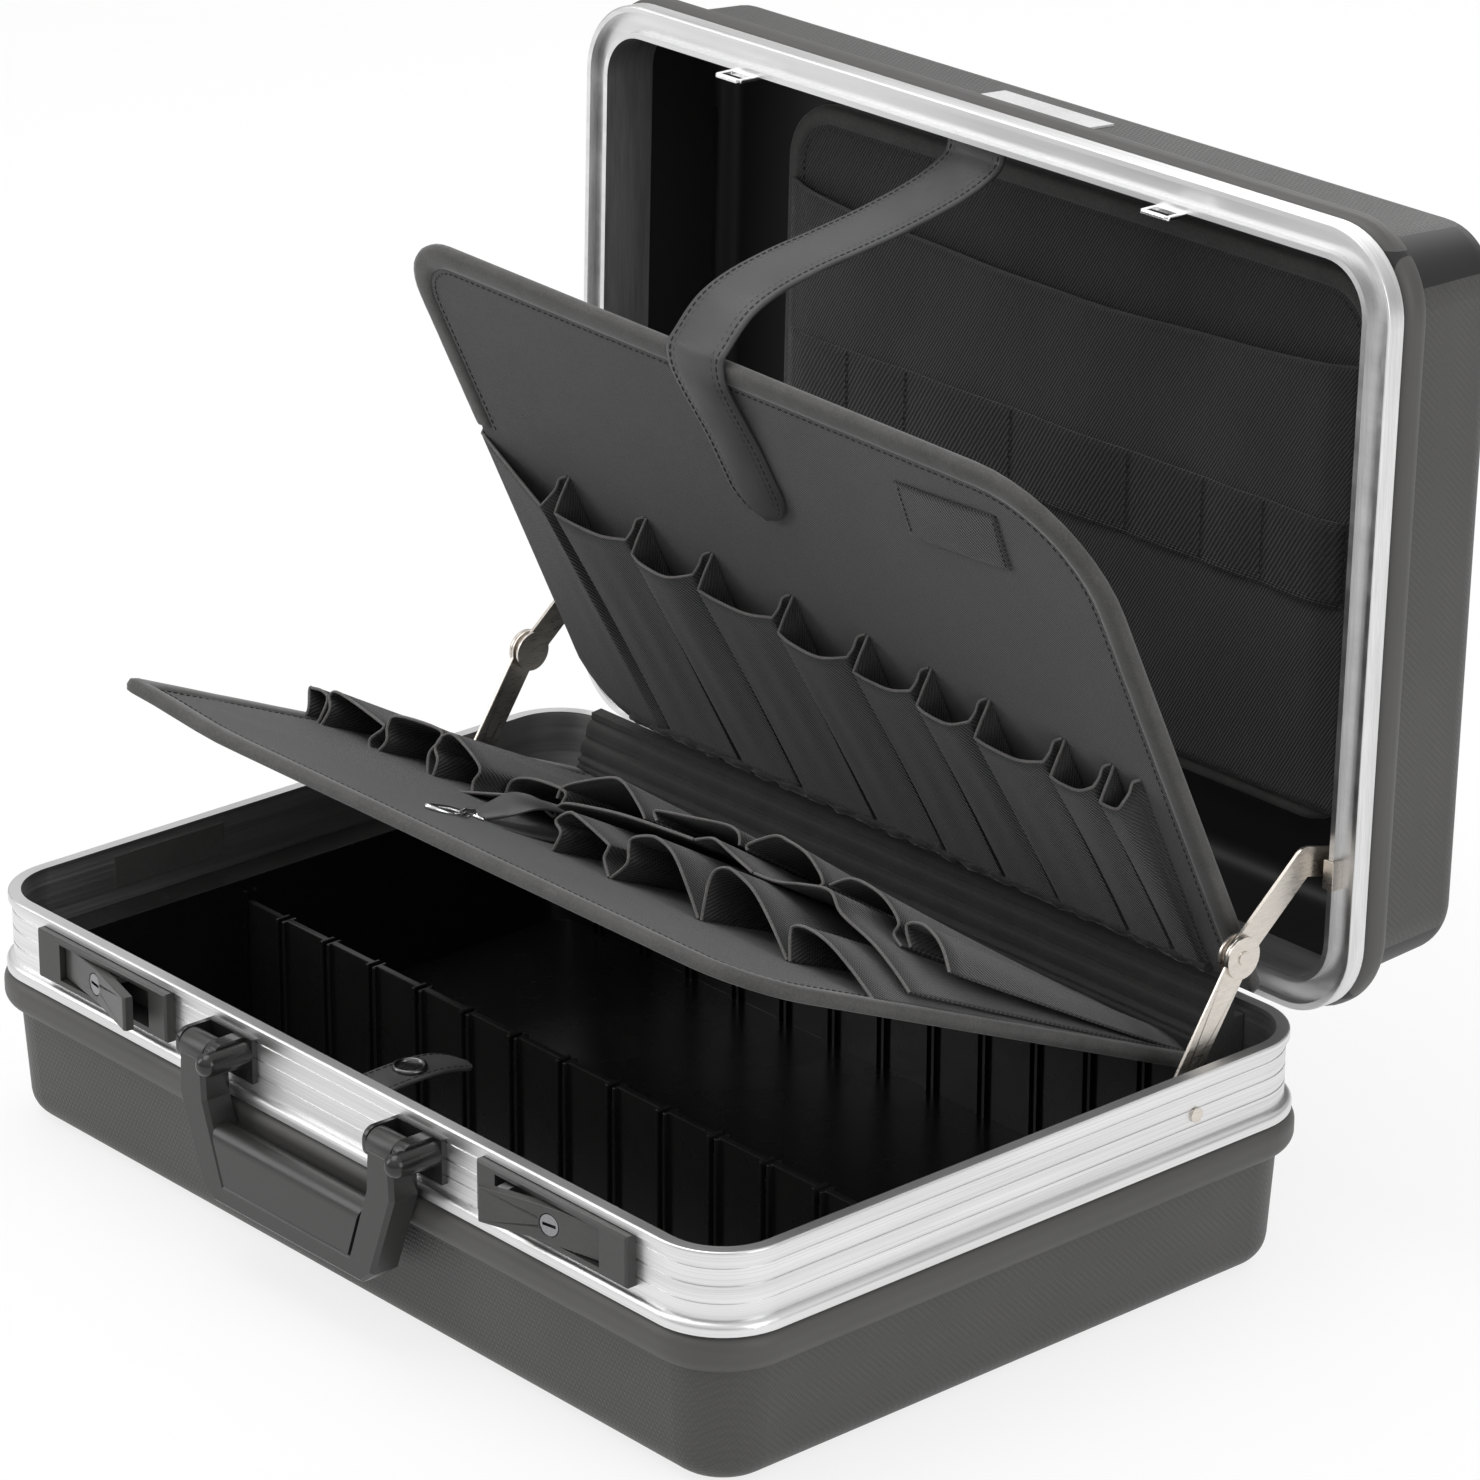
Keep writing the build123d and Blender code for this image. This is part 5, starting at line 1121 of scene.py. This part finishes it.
def elastic_band():
    """Wide webbing sewn down at its seams and bowed a little between them."""
    shape, thread = Shape(), Shape()
    ends = (-DOC_SIDE + 3,) + BAND_SEAMS + (DOC_SIDE - 3,)
    rows, marks = [], []
    xs = []
    for left, right in zip(ends, ends[1:]):
        count = max(4, int((right - left) / 4))
        xs += [left + (right - left) * i / count for i in range(count)]
    xs.append(ends[-1])
    for k in range(9):
        v = k / 8
        y = BAND_LOW + (BAND_HIGH - BAND_LOW) * v
        row, mark = [], []
        for x in xs:
            for left, right in zip(ends, ends[1:]):
                if left <= x <= right:
                    bow = math.sin(math.pi * (x - left) / (right - left))
            row.append(lid_place(x, y, PANEL_FRONT - doc_height(x, y) - 0.8 - 0.9 * bow))
            mark.append((x * MM, y * MM))
        rows.append(row)
        marks.append(mark)
    shape.grid(rows, marks)
    piece = thicken(shape.build("lid_elastic_band", ELASTIC), 1.0)
    for x in BAND_SEAMS:
        path = []
        for y in (BAND_LOW - 1, 0, BAND_HIGH + 1):
            path.append(lid_place(x, y, PANEL_FRONT - doc_height(x, y) - 1.9))
        stitches(thread, path, 2.4, 1.8, 0.35)
    seam = thread.build("lid_band_seams", THREAD)
    settle("lid", "pocket_fabric", ["elastic_band"], piece, seam)
    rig.sheet(piece, flat=(0.326, 0.035), held="stretched", rests_on=["lid_pocket"], with_pieces=[seam])


# Straps

def over_board(s, n):
    """(y, height over the rim) of a place above the upper board's face."""
    at = UPPER.at(0, s, n)
    return (at.y - BASE_MIDDLE_Y) / MM, at.z / MM - RIM_TOP


STRAP_ON_BOARD = (
    (175.0, 2.6), (180.0, 3.1), (196.0, 3.1), (212.0, 3.2), (226.0, 4.2),
    (238.0, 5.0), (248.0, 4.9), (255.6, 2.2), (258.6, -3.4),
)
STRAP_HANGING = (
    (46.7, 256.6), (61.5, 263.0), (83.0, 267.6), (104.0, 270.4), (128.0, 274.0),
    (152.0, 279.0), (168.0, 284.0), (177.0, 289.5), (178.6, 297.0),
)
STRAP_HALF = 16.0


def strap_sheet(name, path, half, thickness, look, rounding, rows_of_thread, crown=0.5, shift=None):
    """A leather band along a path of (y, z) above the rim: crowned, with sewn edges."""
    line = smooth_line(path, 7)
    band, thread = Shape(), Shape()
    run = [0.0]
    for a, b in zip(line, line[1:]):
        run.append(run[-1] + math.dist(a, b))
    sides = (-1.0, -0.98, -0.9, -0.78, -0.72, -0.4, 0.0, 0.4, 0.72, 0.78, 0.9, 0.98, 1.0)
    thick = (0.35, 0.75, 0.9, 0.86, 1.0, 1.25, 1.35, 1.25, 1.0, 0.86, 0.9, 0.75, 0.35)
    rings, marks, frames = [], [], []
    for i, (y, z) in enumerate(line):
        a, b = line[max(0, i - 1)], line[min(len(line) - 1, i + 1)]
        along = Vector((0, b[0] - a[0], b[1] - a[1])).normalized()
        normal = Vector((0, -along.z, along.y))
        tip = min(1.0, run[i] / rounding) if rounding else 1.0
        wide = half * math.sqrt(max(0.0, 1 - (1 - tip) ** 2))
        wide = max(wide, 0.6)
        middle = place(shift(run[i]) if shift else 0.0, y, z + RIM_TOP)
        frames.append((middle, normal, wide))
        top, low = [], []
        for u, t in zip(sides, thick):
            out, up = Vector((u * wide, 0, 0)), normal * thickness / 2 * t
            top.append(middle + (out + up * crown_of(u, crown)) * MM)
            low.append(middle + (out - up) * MM)
        rings.append(top + low[::-1])
        marks.append([(u * half * MM, run[i] * MM) for u in sides] * 2)
    band.grid(rings, marks, True)
    band.cap(rings[0][::-1])
    band.cap(rings[-1])
    piece = band.build(name, look)
    for offset in rows_of_thread:
        for side in (-1, 1):
            for face in (1, -1):
                path = []
                for (middle, normal, wide), far in zip(frames, run):
                    if wide > offset + 1.5 and far > offset:
                        out = Vector((side * (wide - offset), 0, 0))
                        path.append(middle + (out + normal * face * thickness / 2 * 1.02) * MM)
                if len(path) > 1:
                    stitches(thread, path, 3.2, 2.2, 0.34)
    seam = thread.build(name + "_seams", THREAD)
    return piece, seam


def crown_of(u, crown):
    return 1.0 + crown * (1 - u * u)


def carry_strap():
    path = [over_board(*p) for p in STRAP_ON_BOARD] + list(STRAP_HANGING)
    piece, seam = strap_sheet(
        "carry_strap_leather", path, STRAP_HALF, 2.3, STRAP, 15.0, (2.6, 5.2), 0.35,
        lambda far: 5.0 * max(0.0, 1 - far / 80.0),
    )
    settle("lid", "strap_leather", ["carry_strap"], piece, seam)
    anchor = lid_place(0, 0, HINGE_Z + 28.0)
    for one in (piece, seam):
        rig.squash(one, "lid_hinge", axis=LID_NORMAL, anchor=anchor, keep=0.04)
    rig.sheet(
        piece, flat=(2 * STRAP_HALF * MM, 0.32), held="hung", rests_on=["upper_board", "lid_frame"],
        with_pieces=[seam],
    )


FRONT_STRAP_X = 21.0


def front_strap():
    path = (
        (-101.5, -9.0), (-106.0, -7.2), (-114.0, -4.8), (-124.0, -3.6),
        (-136.0, -3.5), (-144.0, -3.8), (-148.6, -4.6),
    )
    piece, seam = strap_sheet(
        "front_strap_leather", path, 9.0, 1.7, STRAP, 9.0, (1.7,), 0.2, lambda far: FRONT_STRAP_X,
    )
    stud = Shape()
    centre = place(FRONT_STRAP_X, -129.0, RIM_TOP - 2.4)
    profile = (
        (0.0, 0.7), (4.2, 0.7), (5.0, 0.6), (5.4, 1.5),
        (6.0, 1.8), (6.6, 1.5), (6.9, 0.6), (6.6, -0.7),
    )
    rings = []
    for radius, high in profile:
        ring = []
        for k in range(28):
            a = 2 * math.pi * k / 28
            wide = max(radius, 0.05)
            ring.append(centre + Vector((wide * math.cos(a), wide * math.sin(a), high)) * MM)
        rings.append(ring)
    stud.grid(rings, None, True)
    stud.cap(rings[0][::-1])
    stud.cap(rings[-1])
    button = stud.build("press_stud", STUD)
    settle("base", "strap_leather", ["front_strap"], piece, seam)
    settle("base", "bright_steel", ["strap_stud"], button)
    under = place(FRONT_STRAP_X, -136.0, RIM_TOP - 4.9)
    for one in (piece, seam):
        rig.squash(one, "lid_hinge", axis=(0, 0, 1), anchor=under, keep=0.45)
    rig.sheet(piece, flat=(0.018, 0.05), held="hung", rests_on=["base_frame"], with_pieces=[seam, button])


BAND_SECTION = (
    (-1, 0.2), (-0.9, 0.5), (0, 0.6), (0.9, 0.5), (1, 0.2),
    (1, -0.2), (0.9, -0.5), (0, -0.5), (-0.9, -0.5), (-1, -0.2),
)


def board_strap(points, half_widths, thickness, name):
    """A band on the lower board along (x, s, n), with its own width at each point."""
    line = smooth_line([(*p, w) for p, w in zip(points, half_widths)], 8)
    band = Shape()
    rings = []
    for i, (x, s, n, w) in enumerate(line):
        a, b = line[max(0, i - 1)], line[min(len(line) - 1, i + 1)]
        along = Vector((b[0] - a[0], b[1] - a[1], b[2] - a[2])).normalized()
        across = Vector((1, 0, 0)) - along * along.x
        across.normalize()
        normal = along.cross(across)
        ring = []
        for u, t in BAND_SECTION:
            p = Vector((x, s, n)) + across * (u * w) + normal * (t * thickness)
            ring.append(LOWER.at(*p))
        rings.append(ring)
    band.grid(rings, None, True)
    band.cap(rings[0][::-1])
    band.cap(rings[-1])
    return band.build(name, STRAP)


def clip_strap():
    """A leather loop from the middle pocket, folded round the ring of a snap hook."""
    top = board_strap(
        (
            (-24.0, 163.0, 12.5), (-25.0, 172.0, 15.0), (-27.0, 182.0, 14.2),
            (-30.0, 190.5, 9.0), (-33.0, 197.0, 4.6),
        ),
        (10.5, 10.8, 10.0, 7.5, 4.6), 1.7, "clip_strap_top",
    )
    low = board_strap(
        (
            (-22.0, 163.0, 4.4), (-22.0, 173.0, 3.6), (-25.0, 183.0, 3.0),
            (-29.0, 191.0, 2.9), (-33.0, 197.0, 3.0),
        ),
        (10.0, 10.6, 9.6, 7.2, 4.4), 1.7, "clip_strap_low",
    )
    hook = Shape()

    def at(x, s, n=0.0):
        """A place by the ring of the hook."""
        return LOWER.at(-33.5 + x, 197.0 + s, 4.0 + n)

    ring = []
    for k in range(20):
        a = 2 * math.pi * k / 20
        ring.append(at(5.0 * math.cos(a), 1.0 + 2.6 * math.sin(a)))
    hook.tube(ring, 0.95 * MM, 8, closed=True)
    swivel = [at(-0.2, 2.6), at(-0.6, 7.5)]
    hook.tube(swivel, [2.6 * MM, 2.1 * MM], 12)
    loop = [(0, 7), (2.6, 9), (3.8, 13), (3.6, 18), (1.8, 23), (-0.8, 25.5), (-3.2, 23.5), (-4.0, 19)]
    path = [at(x, s, -0.3) for x, s in smooth_line(loop, 5)]
    hook.tube(path, [1.7 * MM] * 10 + [1.35 * MM] * (len(path) - 10), 10)
    gate = [at(-1.0, 8.0), at(-3.4, 13.0, 0.4), at(-4.0, 18.5)]
    hook.tube(gate, [1.2 * MM, 1.0 * MM, 1.1 * MM], 8)
    thumb_piece = [at(1.6, 10.0, 1.4), at(4.8, 12.0, 2.2), at(6.6, 15.0, 1.4)]
    hook.tube(thumb_piece, 0.9 * MM, 8)
    clip = hook.build("snap_hook_metal", CHROME)
    settle("lower_board", "strap_leather", ["clip_strap"], top, low)
    settle("lower_board", "bright_steel", ["snap_hook"], clip)
    leaf = {"flat": (0.022, 0.042), "area": 0.00078, "held": "folded", "rests_on": ["lower_board"]}
    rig.sheet(top, **leaf, with_pieces=[clip])
    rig.sheet(low, **leaf)


# Label on the inner wall

LABEL_WALL, LABEL_FRONT, LABEL_BACK = -219.4, -91.0, -36.0


def bare_label():
    shape = Shape()
    front, back, top, low = LABEL_FRONT, LABEL_BACK, RIM_TOP - 4.5, RIM_TOP - 18.0
    rows, marks = [], []
    for i in range(13):
        z = low + (top - low) * i / 12
        rows.append([place(LABEL_WALL, front + (back - front) * k / 24, z) for k in range(25)])
        marks.append([(k * MM, z * MM) for k in range(25)])
    shape.grid(rows, marks)
    piece = thicken(shape.build("bare_label", LABEL, False), 0.35, 1.0)
    settle("base", "label_film", ["inner_label"], piece)


# Finish of the carried over pieces

def dress(look, *names, edge=0.0, segments=2, angle=35.0):
    for name in names:
        piece = frame["nodes"][name]
        piece.data.materials.clear()
        piece.data.materials.append(look)
        if edge:
            rounded(piece, edge, segments, angle)


def finishes():
    both = ("left", "right")
    dress(BASE_SHELL, "base_shell")
    dress(LID_SHELL, "lid_shell")
    dress(BASE_ALUMINIUM, "base_frame")
    dress(LID_ALUMINIUM, "lid_frame")
    dress(LINER, "liner_tray", edge=0.6, segments=3)
    dress(DIVIDER, "long_divider", edge=0.45)
    dress(HARDWARE, "handle_frame", edge=2.4, segments=4)
    dress(GRIP, "handle_grip")
    for side in both:
        dress(BRACKET, "handle_bracket_" + side, edge=0.5, segments=3)
        dress(HOUSING, "latch_housing_" + side, edge=0.3)
        dress(LEVER, "latch_lever_" + side, edge=0.45, segments=3)
        dress(CHROME, "catch_loop_" + side, edge=0.3)
        dress(LOCK, "lock_cylinder_" + side, edge=0.25)
        dress(STEEL, "latch_hook_" + side, edge=0.3)
        dress(NICKEL, "stay_lower_arm_" + side, "stay_upper_arm_" + side, edge=0.3)
        dress(NICKEL, "stay_mid_rivet_" + side, "stay_end_rivet_" + side, edge=0.3)
        dress(NICKEL, "stay_anchor_" + side, edge=0.3)
    dress(NICKEL, "stay_base_rivets", edge=0.3)
    dress(STEEL, "hinge_leaves_base", "hinge_leaves_lid", edge=0.25)
    dress(STEEL, "hinge_pins", "hinge_rivets_base", "hinge_rivets_lid", "handle_pins", "latch_pins", edge=0.2)
    dress(BADGE, "badge_plate")


# Floor, light and camera

FLOOR_HALF, FLOOR_DROP = 7.0, 0.0002   # metres


def floor():
    """A pale floor that keeps the shadow and looks white to the camera."""
    shape = Shape()
    ends = (-FLOOR_HALF, FLOOR_HALF)
    shape.grid([[Vector((x, y, -FLOOR_DROP)) for x in ends] for y in ends])
    made, tree, bsdf = material("pale floor", 0.9)
    bsdf.inputs["Base Color"].default_value = (0.86, 0.86, 0.86, 1)
    path = node(tree, "ShaderNodeLightPath")
    seen = math_node(tree, "MAXIMUM", path.outputs["Is Camera Ray"], path.outputs["Is Glossy Ray"])
    seen = math_node(tree, "MAXIMUM", seen, path.outputs["Is Transmission Ray"])
    glow = node(tree, "ShaderNodeEmission")
    glow.inputs["Color"].default_value = (1, 1, 1, 1)
    glow.inputs["Strength"].default_value = 1.0
    mix = node(tree, "ShaderNodeMixShader")
    link(tree, math_node(tree, "MULTIPLY", seen, 0.8), mix.inputs[0])
    link(tree, bsdf.outputs[0], mix.inputs[1])
    link(tree, glow.outputs[0], mix.inputs[2])
    link(tree, mix.outputs[0], tree.nodes["Material Output"].inputs["Surface"])
    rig.stage(shape.build("floor", made, False))


def world():
    made = bpy.data.worlds.new("studio")
    bpy.context.scene.world = made
    made.use_nodes = True
    tree = made.node_tree
    background = tree.nodes["Background"]
    parts = node(tree, "ShaderNodeSeparateXYZ")
    source = node(tree, "ShaderNodeTexCoord")
    link(tree, source.outputs["Generated"], parts.inputs[0])
    sky = ramp(tree, parts.outputs["Z"], grey(0.30), grey(0.86), 0.0, 0.75)
    path = node(tree, "ShaderNodeLightPath")
    mix = node(tree, "ShaderNodeMix", data_type="RGBA")
    link(tree, path.outputs["Is Camera Ray"], mix.inputs["Factor"])
    link(tree, sky, mix.inputs["A"])
    mix.inputs["B"].default_value = (1, 1, 1, 1)
    link(tree, mix.outputs["Result"], background.inputs["Color"])
    background.inputs["Strength"].default_value = 1.0


def soft_light(name, at, aim, width, height, power):
    data = bpy.data.lights.new(name, "AREA")
    data.shape = "RECTANGLE"
    data.size, data.size_y, data.energy = width, height, power
    lamp = bpy.data.objects.new(name, data)
    bpy.context.scene.collection.objects.link(lamp)
    lamp.location = at
    lamp.rotation_euler = (Vector(aim) - Vector(at)).to_track_quat("-Z", "Y").to_euler()


def lights():
    soft_light("overhead", (-0.5, -0.3, 1.9), (0, 0, 0.15), 1.6, 1.2, 14)
    soft_light("left front", (-1.5, -1.5, 1.1), (0, -0.1, 0.12), 0.9, 1.3, 11)
    soft_light("right", (1.9, 0.1, 0.9), (0, 0, 0.15), 0.8, 1.2, 8)
    soft_light("behind", (-0.6, 1.8, 1.3), (0, 0, 0.2), 1.5, 0.8, 8)


def camera():
    """The photograph's own view of the case."""
    data = bpy.data.cameras.new("camera")
    made = bpy.data.objects.new("camera", data)
    bpy.context.scene.collection.objects.link(made)
    eye = place(1696.0, -1443.6, 999.6 + RIM_TOP)
    right = Vector((0.66153, 0.74991, 0.0033))
    up = Vector((-0.28451, 0.24690, 0.92634))
    back = Vector((0.69386, -0.61374, 0.37669))
    turn = Matrix((right, up, back)).transposed().to_4x4()
    made.matrix_world = Matrix.Translation(eye) @ turn
    # The photograph's width, focal length and optical middle, in its own pixels
    photo_width, focal, middle_x, middle_y = 1480.0, 6212.0, 742.3, 731.6
    data.sensor_width = 36.0
    data.lens = focal / photo_width * data.sensor_width
    data.shift_x = -(middle_x - photo_width / 2) / photo_width
    data.shift_y = (middle_y - photo_width / 2) / photo_width
    data.clip_end = 50.0
    bpy.context.scene.camera = made


camera()
tool_board(UPPER, "upper_board", "upper_board", UPPER_MOUTH[0] + 1.0, LOWER_LEFT_ROUND)
tool_board(LOWER, "lower_board", "lower_board", 4.0, 0.0)
pocket_feet()
upper_pockets()
lower_pockets()
board_patch()
spine_pad()
lid_panel()
lid_pocket()
elastic_band()
carry_strap()
front_strap()
clip_strap()
bare_label()
finishes()
floor()
world()
lights()
bpy.context.scene.view_settings.view_transform = "Standard"

seen_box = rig.bounds()
with open("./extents.json", "w") as out:
    json.dump([[list(corner) for corner in box] for box in (cad_box, seen_box)], out)
